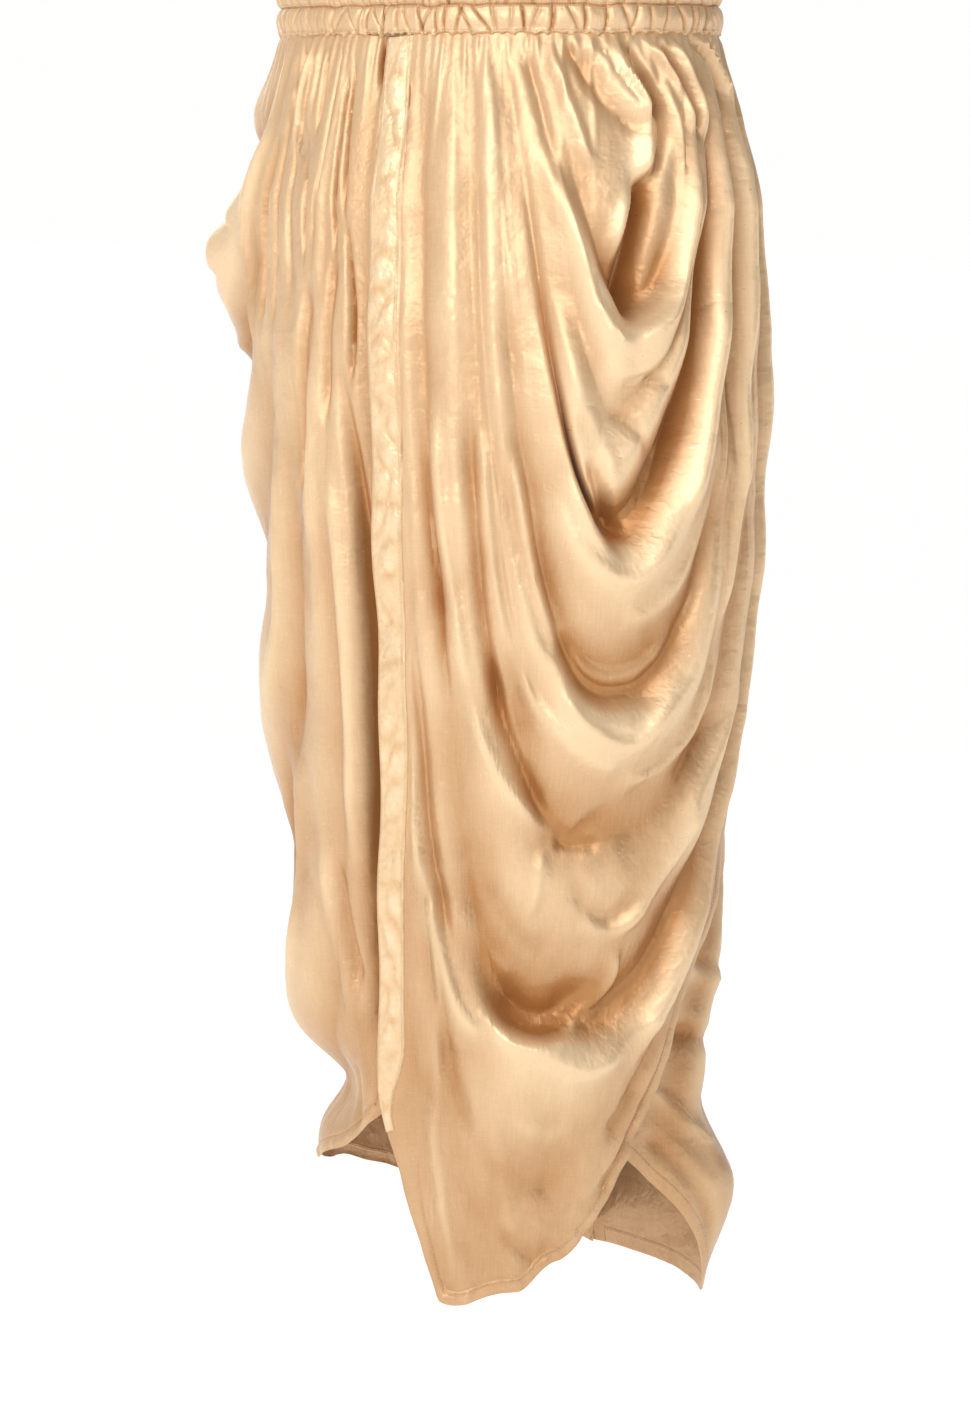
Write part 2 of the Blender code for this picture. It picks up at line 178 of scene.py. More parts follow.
FOLD_COLUMNS = ("front_deg", "low_deg", "low_mm", "back_deg", "front_bow", "back_bow",
                "out_front", "out_low", "out_back")
LEFT_FOLDS = np.array([
    (62, 68, 21, 74, 2.0, 2.0, 1, 1, 1),
    (59.5, 67, 74, 76, 2.0, 2.0, 4, 8, 4),
    (57.5, 68, 94, 78, 2.0, 2.0, -2, -2, -2),
    (55.5, 67, 142, 79.5, 2.0, 2.0, 3, 3, 3),
    (53, 68, 222, 81, 1.9, 2.2, -2, -8, -3),
    (51, 65.5, 252, 83, 1.7, 2.4, 5, 17, 7),
    (49.5, 61, 300, 85, 1.7, 2.0, 2, 8, 0),
    (46.8, 57, 360, 87.5, 1.7, 1.7, 0, 17, 4),
    (44.2, 62, 394, 89.5, 1.8, 1.8, -3, -11, -9),
    (42.4, 65, 430, 92.5, 1.9, 2.0, 4, 16, 8),
    (40.8, 64, 470, 95, 2.2, 2.2, 1, 9, -2),
    (38.4, 65, 522, 97, 2.4, 2.3, -4, -6, -5),
    (35, 67, 552, 100.5, 2.6, 2.5, 5, 18, 8),
    (33, 65, 592, 103, 2.6, 2.7, 1, 7, 0),
    (30.5, 58, 640, 106, 2.2, 3.0, -3.5, -3, -4),
    (24.5, 62, 700, 109, 2.8, 3.0, 3.5, 4, 6),
    (18.5, 53, 780, 112.5, 3.4, 2.9, -2.5, -14, -4),
    (13.5, 60, 813, 115.5, 4.6, 2.9, 2, 12, 7),
    (12, 53, 880, 118, 5.0, 2.3, 1, 8, 0),
    (11, 50, 940, 119.5, 6.0, 2.3, 1, 4, 1),
])
EDGE_COLUMNS = ("along", "deg", "drop_mm")
EDGE_UNROLL = 0.18
LEFT_EDGE = np.array([
    (-1.000, 1.0, 21), (-0.933, 2.6, 110), (-0.800, 2.0, 320), (-0.667, -1.5, 580), (-0.600, -6.5, 725),
    (-0.533, -9.3, 867), (-0.467, 11.0, 1012),
    (-0.40, 22, 1014), (-0.25, 45, 1003), (-0.10, 62, 973), (0.00, 70, 955), (0.15, 77, 930),
    (0.28, 83.5, 893), (0.38, 90.6, 849), (0.46, 105, 730), (0.52, 119, 640), (0.60, 127, 560),
    (0.75, 128, 350), (0.90, 128, 120), (1.00, 128, 21),
])
LEFT_FRONT_ARM = 7

# Creases placed on a piece, each drawn through four points (degrees, millimetres down). A
# height above nought is a ridge and below it a trough; each side of the line has its own width.
CREASE_COLUMNS = ("deg_a", "mm_a", "deg_b", "mm_b", "deg_c", "mm_c", "deg_d", "mm_d",
                  "inner_mm", "outer_mm", "height_mm")
CREASE_SHAPE = CREASE_COLUMNS.index("inner_mm")
LEFT_CREASES = np.array([
    (71, 118, 69.5, 160, 67, 205, 65, 252, 8, 9, -24),
    (63, 24, 69, 56, 72.5, 86, 71, 122, 4, 9, 8),
    (73, 96, 70.5, 128, 66, 156, 62.5, 200, 4, 6, 7),
    (70, 40, 74.5, 70, 76, 100, 72, 145, 4, 3, -9),
    (59, 30, 62, 58, 67, 84, 72, 100, 7, 4, -6),
    (78, 40, 79.5, 131, 75, 205, 66, 256, 9, 4, 9),
    (50, 90, 54, 160, 58, 225, 65, 266, 4, 12, 8),
    (86, 150, 82, 240, 77, 320, 68, 378, 8, 7, -9),
    (49, 200, 53, 270, 57, 330, 62, 370, 9, 6, 4),
    (56, 335, 59, 368, 63, 392, 67, 404, 5, 6, -13),
    (62, 288, 66, 282, 70, 283, 75, 290, 3, 4, -3.5),
    (60, 262, 64, 276, 68, 272, 74, 250, 5, 5, 3),
    (60, 305, 64, 312, 68, 330, 70, 345, 4, 5, -3.5),
    (54, 300, 56, 322, 58, 340, 60, 356, 4, 5, -3),
    (48, 366, 55, 412, 66, 434, 77, 396, 5, 9, 6),
    (77, 396, 81, 345, 85, 275, 88, 180, 4, 9, 6),
    (41, 330, 43.5, 390, 47, 448, 54, 493, 5, 8, 5),
    (52, 485, 60, 508, 70, 506, 80, 470, 4, 10, 6),
    (64, 470, 72, 458, 80, 425, 88, 350, 6, 8, 4),
    (33, 290, 34.5, 390, 37, 460, 41, 512, 5, 6, 6),
    (39, 495, 47, 536, 58, 570, 69, 589, 5, 9, 6),
    (38, 330, 41, 400, 45.5, 460, 51, 512, 4.5, 7, -7.5),
    (48, 508, 58, 550, 70, 562, 81, 500, 5, 11, 6),
    (81, 500, 86, 440, 90, 360, 91, 250, 4, 10, 6),
    (66, 586, 76, 590, 86, 562, 94, 480, 5, 10, 5),
    (92, 480, 95, 420, 97, 330, 98, 200, 4, 8, 4),
    (52, 628, 57, 634, 61, 624, 68, 610, 4, 8, -3.5),
    (68, 610, 78, 590, 89, 566, 101, 536, 5, 11, -4),
    (29.8, 290, 31.0, 400, 33.2, 480, 38.5, 562, 4, 8, -8),
    (33, 480, 37, 540, 42.5, 582, 50.5, 630, 5.5, 8, -8),
    (19.8, 290, 22, 390, 24.6, 460, 29, 545, 6, 9, 6),
    (27, 520, 33, 570, 41, 605, 50.5, 636, 5.5, 9, 7),
    (51, 640, 56, 643, 60, 643, 66, 640, 4, 5, -4.5),
    (50, 645, 48, 664, 47, 684, 44, 704, 6, 6, 3),
    (14, 664, 19, 664, 25, 660, 31, 652, 8, 6, 2),
    (17.6, 290, 18.5, 390, 19.9, 445, 22, 545, 3.5, 5, -6),
    (93, 612, 87, 648, 79, 690, 69, 724, 5, 10, 6),
    (72, 722, 72, 756, 65, 778, 54, 790, 4, 8, 7),
    (33, 752, 43, 786, 55, 786, 67, 748, 18, 9, -9),
    (7.5, 420, 8.2, 520, 10, 620, 14, 695, 3, 11, 6.5),
    (12.5, 670, 17, 725, 23, 772, 33, 800, 5, 12, 7),
    (11.5, 470, 12, 560, 14.5, 650, 20, 730, 11, 4, -7),
    (12, 700, 14, 765, 20, 840, 28, 885, 12, 8, -4.5),
    (26, 875, 36, 905, 50, 918, 64, 905, 10, 9, -2.5),
    (28, 772, 40, 794, 53, 800, 66, 775, 4.5, 7, 6),
    (30, 790, 46, 808, 64, 824, 79, 805, 12, 7, 6),
    (79, 803, 86, 774, 91, 740, 95, 690, 5, 12, 6),
    (84, 640, 92, 600, 100, 560, 106, 500, 5, 11, 5),
    (18, 690, 26, 705, 34, 735, 42, 748, 7, 9, 3.5),
    (30, 660, 36, 690, 44, 716, 52, 728, 7, 8, -3.5),
    (56, 660, 62, 690, 70, 700, 80, 680, 7, 9, -4),
    (60, 700, 66, 712, 74, 708, 82, 690, 5, 7, 3),
    (10, 840, 13, 900, 16, 950, 20, 1000, 6, 9, 4),
    (14, 700, 15, 760, 14, 830, 13, 890, 5, 8, 3),
    (34, 950, 42, 965, 50, 975, 58, 960, 7, 8, -3),
    (40, 860, 47, 872, 55, 874, 62, 864, 8, 8, 2.5),
    (70, 880, 77, 862, 84, 826, 90, 784, 7, 9, -5),
    (96, 150, 95, 300, 92, 430, 86, 560, 5, 8, -6),
    (100, 60, 102, 200, 103, 380, 99, 560, 4, 9, 5),
    (106, 60, 108, 220, 109, 400, 106, 600, 6, 8, -5),
    (113, 60, 114, 220, 115, 400, 114, 560, 5, 9, 4),
    (9, 28, 11, 120, 12, 260, 11, 430, 5, 13, 2.4),
    (16, 28, 17, 120, 18, 260, 17, 420, 7, 14, -2.2),
    (24, 28, 26, 90, 27, 200, 27, 330, 5, 13, 2),
    (30, 28, 31.5, 80, 33, 170, 35, 300, 7, 12, -2.4),
    (34, 28, 36.5, 80, 39, 160, 42, 260, 4, 11, 2.2),
    (39, 28, 42, 80, 45, 160, 49, 260, 5, 10, -3.4),
    (45, 28, 48, 64, 51, 110, 55, 160, 4, 6, -4.5),
    (51, 26, 54, 60, 57, 96, 60, 130, 4, 7, 5),
    (56, 25, 58.5, 46, 62, 68, 67, 92, 3, 5, -6),
    (63.5, 25, 66, 42, 69, 60, 72.5, 80, 3, 4, -6),
    (66.5, 24, 69, 45, 71.5, 65, 73.5, 84, 3, 4, 5),
    (70, 24, 73, 48, 75.5, 66, 76, 90, 3, 4, -8),
    (75, 24, 78.5, 45, 81, 66, 82.5, 100, 3, 4, 8),
    (78.5, 25, 81.5, 46, 84, 70, 86, 110, 3, 3, -7),
    (82, 24, 84.5, 45, 87, 75, 88.5, 120, 3, 4, 7),
    (87, 23, 92, 33, 96, 48, 98, 80, 3, 4, -6),
    (90, 22, 95, 32, 99, 48, 101, 80, 3, 3, 6),
    (95, 22, 100, 34, 103, 55, 104, 90, 3, 4, -5),
])


def smooth(low, high, value):
    """Eased step from 0 at low to 1 at high."""
    share = np.clip((value - low) / (high - low), 0, 1)
    return share * share * (3 - 2 * share)


def column(table, names, name):
    """One named column of a table."""
    return table[:, names.index(name)]


def on_form(deg, drop, out):
    """Point at an angle and a drop: the plain form's ellipse radius, plus out, turned and shifted."""
    level = column(FORM, FORM_COLUMNS, "drop") / 1000
    side, front, turn, shift_x, shift_y = (
        np.interp(drop, level, column(FORM, FORM_COLUMNS, name)) for name in FORM_COLUMNS[1:])
    lean = np.radians(deg - turn)
    radius = 0.001 / np.hypot(np.sin(lean) / side, np.cos(lean) / front) + out
    ray = np.radians(deg)
    return np.stack([radius * np.sin(ray) + shift_x / 1000,
                     -radius * np.cos(ray) + shift_y / 1000, -drop], axis=-1)


def between_rows(table, place):
    """Shape columns follow a cubic through the rows; the out columns run from a round ridge into a
    narrower trough: a power of the way between them, mixed half and half with an eased step."""
    last = len(table) - 1
    index = np.clip(np.floor(place).astype(int), 0, last - 1)
    share = (place - index)[:, None]
    before = table[np.maximum(index - 1, 0)]
    here = table[index]
    there = table[index + 1]
    after = table[np.minimum(index + 2, last)]
    slope_here = (there - before) / 2
    slope_there = (after - here) / 2
    cubic = ((2 * share ** 3 - 3 * share ** 2 + 1) * here
             + (share ** 3 - 2 * share ** 2 + share) * slope_here
             + (3 * share ** 2 - 2 * share ** 3) * there + (share ** 3 - share ** 2) * slope_there)
    sharp = np.where(there > here, 1 - (1 - share) ** TROUGH_SHARPNESS, share ** TROUGH_SHARPNESS)
    eased = here + (there - here) * (sharp + smooth(0, 1, share)) / 2
    shapes = FOLD_COLUMNS.index("out_front")
    return np.concatenate([cubic[:, :shapes], eased[:, shapes:]], axis=1)


def fold_lines(table, place, along):
    """Angle, drop and stand-off on the fold lines: each arm is a quarter of a rounded square, and
    a line that stands out at its lowest stretch also hangs down a share of that distance."""
    row = {name: values[:, None] for name, values in zip(FOLD_COLUMNS, between_rows(table, place).T)}
    swing = np.radians(90 * (1 - np.abs(along)))[None, :]
    back = (along > 0)[None, :]
    bow = np.where(back, row["back_bow"], row["front_bow"])
    reach = np.where(back, row["back_deg"], row["front_deg"]) - row["low_deg"]
    size = (np.cos(swing) ** bow + np.sin(swing) ** bow) ** (1 / bow)
    across = np.cos(swing) / size
    down = np.sin(swing) / size
    deg = row["low_deg"] + reach * across
    drop = SEAM_DROP + (row["low_mm"] / 1000 - SEAM_DROP) * down
    low_share = smooth(0.35, 1.0, down) * (1 - smooth(0.35, 1.0, across))
    arm = np.where(back, row["out_back"], row["out_front"] * smooth(SEAM_DROP, FRONT_EASE, drop))
    out = arm + (row["out_low"] - arm) * low_share
    out = out * smooth(SEAM_DROP - 0.012, SEAM_DROP + 0.110, drop) / 1000
    drop = drop + DROOP * low_share * np.maximum(out, 0) * smooth(SEAM_DROP, SEAM_DROP + 0.05, drop)
    return deg, drop, out


def edge_line(table, along, inset):
    """The piece's edge with its corners just softened, moved inwards on the cloth by inset."""
    knots = column(table, EDGE_COLUMNS, "along")
    softened = [np.clip(along + step, -1, 1) for step in np.linspace(-0.010, 0.010, 5)]

    def line(name, places):
        values = column(table, EDGE_COLUMNS, name)
        return np.mean([np.interp(place, knots, values) for place in places], axis=0)

    deg = line("deg", softened)
    drop = line("drop_mm", softened) / 1000
    ahead = [np.clip(place + 0.012, -1, 1) for place in softened]
    behind = [np.clip(place - 0.012, -1, 1) for place in softened]
    run = np.radians(line("deg", ahead) - line("deg", behind)) * EDGE_UNROLL
    fall = (line("drop_mm", ahead) - line("drop_mm", behind)) / 1000
    length = np.hypot(run, fall)
    inner_deg = deg + np.degrees(inset * fall / length / EDGE_UNROLL)
    return inner_deg, np.maximum(drop - inset * run / length, SEAM_DROP)


def waves(x, y, seed, size, count=7):
    """Sum of seeded sine waves of about one size in all directions, scaled to about -1 to 1."""
    draw = np.random.default_rng(seed)
    heading = draw.uniform(0, np.pi, count)
    length = size * draw.uniform(0.7, 1.4, count)
    phase = draw.uniform(0, 2 * np.pi, count)
    total = np.zeros(np.broadcast(x, y).shape)
    for way, span, start in zip(heading, length, phase):
        total = total + np.sin(2 * np.pi * (x * np.cos(way) + y * np.sin(way)) / span + start)
    return total / math.sqrt(count)


def crumple(x, y, seed, size):
    """Crushed cloth: valley lines where seeded wave sums cross nought, at a size and at half of it."""
    coarse = np.abs(waves(x, y, seed, size)) ** 0.7
    fine = np.abs(waves(x, y, seed + 50, size / 2)) ** 0.7
    return coarse + 0.45 * fine - 0.9


def crease_relief(table, deg, drop):
    """Height of the placed creases: for each, a smooth curve through its four points, and across
    it a bell that falls off at its own rate on each side and fades out towards the curve's ends."""
    x = np.radians(deg) * UNROLL
    total = np.zeros(x.shape)
    for row in table:
        corner = np.stack([np.radians(row[0:CREASE_SHAPE:2]) * UNROLL, row[1:CREASE_SHAPE:2] / 1000], axis=1)
        corner = np.vstack([2 * corner[0] - corner[1], corner, 2 * corner[3] - corner[2]])
        share = np.linspace(0, 1, 7)[:-1, None]
        path = [0.5 * (2 * b + (c - a) * share + (2 * a - 5 * b + 4 * c - d) * share ** 2
                       + (3 * b - a - 3 * c + d) * share ** 3)
                for a, b, c, d in zip(corner, corner[1:], corner[2:], corner[3:])]
        path = np.vstack(path + [corner[4:5]])
        inner, outer, height = row[CREASE_SHAPE:] / 1000
        reach = 2.6 * max(inner, outer)
        near = ((x > path[:, 0].min() - reach) & (x < path[:, 0].max() + reach)
                & (drop > path[:, 1].min() - reach) & (drop < path[:, 1].max() + reach))
        point = np.stack([x[near], drop[near]], axis=1)
        best = np.full(len(point), np.inf)
        side = np.zeros(len(point))
        place = np.zeros(len(point))
        for number, (start, end) in enumerate(zip(path[:-1], path[1:])):
            step = end - start
            run = np.clip((point - start) @ step / (step @ step), 0, 1)
            off = point - start - run[:, None] * step
            away = np.hypot(off[:, 0], off[:, 1])
            closer = away < best
            best = np.where(closer, away, best)
            side = np.where(closer, step[0] * off[:, 1] - step[1] * off[:, 0], side)
            place = np.where(closer, (number + run) / (len(path) - 1), place)
        width = np.where(side > 0, outer, inner)
        ends = smooth(0, 0.22, place) * (1 - smooth(0.78, 1, place))
        total[near] += height * ends * np.exp(-(best / width) ** 2)
    return total


def small_creases(deg, drop, seed, count, deg_span, mm_span, width=(6, 11), height=(0.5, 1.6)):
    """Seeded short creases, mostly upright, of mixed lengths, widths, bows and heights."""
    draw = np.random.default_rng(seed)
    heading = draw.normal(0, 0.6, count)
    length = draw.uniform(30, 90, count)
    bow = draw.uniform(-6, 6, count)
    start = np.stack([draw.uniform(*deg_span, count), draw.uniform(*mm_span, count)], axis=1)
    way = np.stack([np.degrees(np.sin(heading) / 1000 / UNROLL), np.cos(heading)], axis=1)
    aside = np.stack([np.degrees(np.cos(heading) / 1000 / UNROLL), -np.sin(heading)], axis=1)
    places = [start + way * (length * share)[:, None] + aside * (bow * bend)[:, None]
              for share, bend in ((0, 0), (0.33, 1), (0.67, 1), (1, 0))]
    size = draw.uniform(*width, (2, count))
    tall = draw.choice([-1, 1], count) * draw.uniform(*height, count)
    return crease_relief(np.concatenate([np.hstack(places), size.T, tall[:, None]], axis=1), deg, drop)


def waist_gathers(deg, drop, seed, first, last):
    """Small pleats below the waist seam: seeded ridges about 11 mm apart, each fading at its own drop."""
    draw = np.random.default_rng(seed)
    places = np.arange(first, last, GATHER_STEP)
    places = places + draw.normal(0, 0.5, len(places))
    total = np.zeros(np.broadcast(deg, drop).shape)
    for place in places:
        reach = draw.uniform(0.018, 0.085)
        height = draw.uniform(0.0010, 0.0026)
        lean = draw.normal(0, 12)
        off = np.radians(deg - place - lean * (drop - SEAM_DROP)) * UNROLL
        total = total + height * np.exp(-(off / 0.0032) ** 2) * np.exp(-((drop - SEAM_DROP) / reach) ** 2)
    return total * smooth(SEAM_DROP - 0.003, SEAM_DROP + 0.008, drop)


def facing_out(points):
    """Unit normals of a grid, averaged from its cells and turned away from the body's middle."""
    cell = np.cross(points[1:, 1:] - points[:-1, :-1], points[1:, :-1] - points[:-1, 1:])
    size = np.linalg.norm(cell, axis=-1, keepdims=True)
    cell = np.pad(cell / np.maximum(size, 1e-12), ((1, 1), (1, 1), (0, 0)), mode="edge")
    normal = cell[1:, 1:] + cell[:-1, 1:] + cell[1:, :-1] + cell[:-1, :-1]
    normal = normal / np.maximum(np.linalg.norm(normal, axis=-1, keepdims=True), 1e-12)
    return normal * np.sign(np.sum(normal[..., :2] * points[..., :2]))


RIM_ANGLE = 62


def cloth_piece(name, outer, inner, unrolled, depth, stitch=None, closed=False):
    """A thin closed shell: the outer grid at full fineness and the inner grid at half of it, joined
    round the rim, with the cloth's own flat coordinates in metres as its UV map. Attributes hold
    each point's fold depth, which the material turns into painted shade in troughs and painted
    highlight on ridges, and its distance from the nearest sewn line with the run along it."""
    rows, columns = outer.shape[:2]
    count = rows * columns
    index = np.arange(count).reshape(rows, columns)
    inner = inner[::2, ::2]
    behind = count + np.arange(inner.shape[0] * inner.shape[1]).reshape(inner.shape[:2])
    if closed:
        index = np.hstack([index, index[:, :1]])
        behind = np.hstack([behind, behind[:, :1]])

    def quads(grid):
        return np.stack([grid[:-1, :-1], grid[1:, :-1], grid[1:, 1:], grid[:-1, 1:]], axis=-1).reshape(-1, 4)

    skin = quads(index)
    lining = quads(behind)[:, ::-1]
    rims = [(index[0], behind[0]), (index[-1][::-1], behind[-1][::-1])]
    if not closed:
        rims += [(index[:, -1], behind[:, -1]), (index[:, 0][::-1], behind[:, 0][::-1])]
    sides = [np.concatenate([np.stack([fine[0:-2:2], fine[1:-1:2], coarse[:-1]], axis=-1),
                             np.stack([fine[1:-1:2], fine[2::2], coarse[1:]], axis=-1),
                             np.stack([fine[1:-1:2], coarse[1:], coarse[:-1]], axis=-1)])
             for fine, coarse in rims]
    corners = np.concatenate([skin.ravel(), lining.ravel()] + [side.ravel() for side in sides])
    sizes = np.concatenate([np.full(len(skin) + len(lining), 4)] + [np.full(len(side), 3) for side in sides])
    starts = np.concatenate([[0], np.cumsum(sizes)[:-1]])
    points = np.concatenate([outer.reshape(-1, 3), inner.reshape(-1, 3)])
    mesh = bpy.data.meshes.new(name)
    mesh.vertices.add(len(points))
    mesh.vertices.foreach_set("co", points.astype(np.float32).ravel())
    mesh.loops.add(len(corners))
    mesh.loops.foreach_set("vertex_index", corners.astype(np.int32))
    mesh.polygons.add(len(sizes))
    mesh.polygons.foreach_set("loop_start", starts.astype(np.int32))
    mesh.update(calc_edges=True)
    sample = points[skin]
    facing = np.cross(sample[:, 2] - sample[:, 0], sample[:, 1] - sample[:, 3])
    thick = np.repeat(np.repeat(outer[::2, ::2] - inner, 2, axis=0), 2, axis=1)
    thick = thick[:index.shape[0] - 1, :index.shape[1] - 1].reshape(-1, 3)
    if np.sum(facing * thick) < 0:
        mesh.flip_normals()
    mesh.shade_smooth()
    mesh.set_sharp_from_angle(angle=math.radians(RIM_ANGLE))
    flat = np.concatenate([unrolled.reshape(-1, 2), unrolled[::2, ::2].reshape(-1, 2)])
    layer = mesh.uv_layers.new(name="cloth")
    loop_points = np.empty(len(mesh.loops), dtype=np.int32)
    mesh.loops.foreach_get("vertex_index", loop_points)
    layer.data.foreach_set("uv", flat[loop_points].astype(np.float32).ravel())
    # The fold depth attribute carries painted shade and painted highlight into the colour.
    shade = mesh.attributes.new("painted_fold_shade", "FLOAT", "POINT")
    depths = np.concatenate([depth.ravel(), depth[::2, ::2].ravel()])
    shade.data.foreach_set("value", depths.astype(np.float32))
    if stitch is None:
        stitch = np.ones((rows, columns, 2))
    sewn = np.concatenate([stitch.reshape(-1, 2), stitch[::2, ::2].reshape(-1, 2)])
    sewn = np.hstack([sewn, np.zeros((len(sewn), 1))])
    line = mesh.attributes.new("stitch_line", "FLOAT_VECTOR", "POINT")
    line.data.foreach_set("vector", sewn.astype(np.float32).ravel())
    piece = bpy.data.objects.new(name, mesh)
    bpy.context.scene.collection.objects.link(piece)
    return piece


def link(tree, start, end):
    """Joins two node sockets."""
    tree.links.new(start, end)


def group_socket(group, name, way, kind, value=None):
    """One named input or output of a node group."""
    socket = group.interface.new_socket(name=name, in_out=way, socket_type=kind)
    if value is not None:
        socket.default_value = value
    return socket


def math_node(tree, operation, first, second=None, third=None):
    """A Math node fed by sockets or numbers; gives its output socket."""
    node = tree.nodes.new("ShaderNodeMath")
    node.operation = operation
    for slot, value in enumerate((first, second, third)):
        if value is None:
            continue
        if isinstance(value, (int, float)):
            node.inputs[slot].default_value = value
        else:
            link(tree, value, node.inputs[slot])
    return node.outputs[0]


STITCH_PITCH = 0.0030


def satin_group():
    """Node group of the metallic satin: fine twill threads, long silky streaks along the warp,
    soft crush creases and scattered metal-thread glints, all in the cloth's flat metres. Its colour
    also holds painted shade in troughs, crevices and sewn grooves, and painted highlight on ridges
    and on the glints."""
    group = bpy.data.node_groups.new("metallic_satin", "ShaderNodeTree")
    group_socket(group, "Cloth", "INPUT", "NodeSocketVector")
    group_socket(group, "Light Colour", "INPUT", "NodeSocketColor", (0.9, 0.7, 0.45, 1))
    group_socket(group, "Deep And Shade Colour", "INPUT", "NodeSocketColor", (0.6, 0.35, 0.14, 1))
    group_socket(group, "Depth", "INPUT", "NodeSocketFloat", 0.0)
    group_socket(group, "Stitch Line", "INPUT", "NodeSocketVector", (1, 1, 0))
    group_socket(group, "Roughness", "INPUT", "NodeSocketFloat", 0.4)
    group_socket(group, "Crush", "INPUT", "NodeSocketFloat", 1.0)
    group_socket(group, "Base Color", "OUTPUT", "NodeSocketColor")
    group_socket(group, "Roughness", "OUTPUT", "NodeSocketFloat")
    group_socket(group, "Height", "OUTPUT", "NodeSocketFloat")
    inside = group.nodes.new("NodeGroupInput")
    outside = group.nodes.new("NodeGroupOutput")

    def noise(scale, detail, stretch=(1, 1, 1)):
        """Noise over the cloth's flat metres, squeezed along each axis by stretch."""
        mapping = group.nodes.new("ShaderNodeMapping")
        mapping.inputs["Scale"].default_value = stretch
        link(group, inside.outputs["Cloth"], mapping.inputs["Vector"])
        node = group.nodes.new("ShaderNodeTexNoise")
        node.inputs["Scale"].default_value = scale
        node.inputs["Detail"].default_value = detail
        link(group, mapping.outputs[0], node.inputs["Vector"])
        return node.outputs["Fac"]

    streaks = noise(60, 3, (14, 0.6, 1))
    cross_streaks = noise(60, 2, (0.8, 12, 1))
    glints = noise(380, 3)
    clouds = noise(11, 3)
    crush = noise(30, 3)
    fine_crush = noise(95, 2)
    bend = group.nodes.new("ShaderNodeTexNoise")
    bend.inputs["Scale"].default_value = 18
    bend.inputs["Detail"].default_value = 2
    link(group, inside.outputs["Cloth"], bend.inputs["Vector"])
    bent = group.nodes.new("ShaderNodeVectorMath")
    bent.operation = "MULTIPLY_ADD"
    bent.inputs[1].default_value = (0.05, 0.05, 0.0)
    link(group, bend.outputs["Color"], bent.inputs[0])
    link(group, inside.outputs["Cloth"], bent.inputs[2])

    cells = group.nodes.new("ShaderNodeTexVoronoi")
    cells.inputs["Scale"].default_value = 26
    link(group, bent.outputs["Vector"], cells.inputs["Vector"])
    folded = math_node(group, "POWER", cells.outputs["Distance"], 2.0)
    ridge = math_node(group, "ABSOLUTE", math_node(group, "SUBTRACT", crush, 0.5))
    fine_ridge = math_node(group, "ABSOLUTE", math_node(group, "SUBTRACT", fine_crush, 0.5))
    twill = group.nodes.new("ShaderNodeTexWave")
    twill.bands_direction = "DIAGONAL"
    twill.inputs["Scale"].default_value = 380
    link(group, inside.outputs["Cloth"], twill.inputs["Vector"])

    def ease(value, low, high, start, end):
        """Eased step of a socket from start at low to end at high."""
        node = group.nodes.new("ShaderNodeMapRange")
        node.interpolation_type = "SMOOTHSTEP"
        node.inputs["From Min"].default_value = low
        node.inputs["From Max"].default_value = high
        node.inputs["To Min"].default_value = start
        node.inputs["To Max"].default_value = end
        link(group, value, node.inputs["Value"])
        return node.outputs["Result"]

    sewn = group.nodes.new("ShaderNodeSeparateXYZ")
    link(group, inside.outputs["Stitch Line"], sewn.inputs[0])
    off_line = math_node(group, "ABSOLUTE", sewn.outputs["X"])
    # The sewn line's groove: a dent in the relief, and painted shade that darkens the colour along it.
    groove_and_shade = ease(off_line, 0.0003, 0.0022, 1.0, 0.0)
    place = math_node(group, "FRACT", math_node(group, "DIVIDE", sewn.outputs["Y"], STITCH_PITCH))
    from_middle = math_node(group, "ABSOLUTE", math_node(group, "SUBTRACT", place, 0.5))
    dash = ease(from_middle, 0.28, 0.38, 1.0, 0.0)
    thread = math_node(group, "MULTIPLY", ease(off_line, 0.0002, 0.0005, 1.0, 0.0), dash)

    def total(start, shares):
        """Sum of a first value and each socket times its share."""
        for socket, share in shares:
            start = math_node(group, "ADD", start, math_node(group, "MULTIPLY", socket, share))
        return start

    # Metal-thread specks: smoother where they lie, and a painted glint that lightens the colour there.
    spark_and_painted_glint = math_node(group, "MAXIMUM", math_node(group, "SUBTRACT", glints, 0.62), 0.0)
    spark_and_painted_glint = math_node(group, "SMOOTH_MIN", 1.0, math_node(group, "MULTIPLY", spark_and_painted_glint, 9.0), 0.1)
    # Painted shade: the colour darkens further in the deepest troughs.
    crevice_shade = ease(inside.outputs["Depth"], -1.3, -0.65, 0.42, 0.0)
    # The colour's tone: random clouds and streaks, with painted shade in troughs, crevices and sewn grooves
    # and painted highlight on ridges and glints.
    tone_and_shade = total(0.22, [(streaks, 0.24), (clouds, 0.40), (cross_streaks, 0.12),
                        (inside.outputs["Depth"], 0.70), (crevice_shade, -1.0), (spark_and_painted_glint, 0.25), (groove_and_shade, -0.08),
                        (thread, 0.40)])
    limited = group.nodes.new("ShaderNodeClamp")
    link(group, tone_and_shade, limited.inputs["Value"])
    mix = group.nodes.new("ShaderNodeMix")
    mix.data_type = "RGBA"
    first_colour, second_colour = mix.inputs[6:8]
    mixed_colour = mix.outputs[2]
    link(group, limited.outputs[0], mix.inputs["Factor"])
    link(group, inside.outputs["Deep And Shade Colour"], first_colour)
    link(group, inside.outputs["Light Colour"], second_colour)
    link(group, mixed_colour, outside.inputs["Base Color"])

    streak_rough = math_node(group, "MULTIPLY", math_node(group, "SUBTRACT", streaks, 0.5), 0.14)
    rough = total(inside.outputs["Roughness"], [(streak_rough, 1.0), (spark_and_painted_glint, -0.16)])
    link(group, rough, outside.inputs["Roughness"])

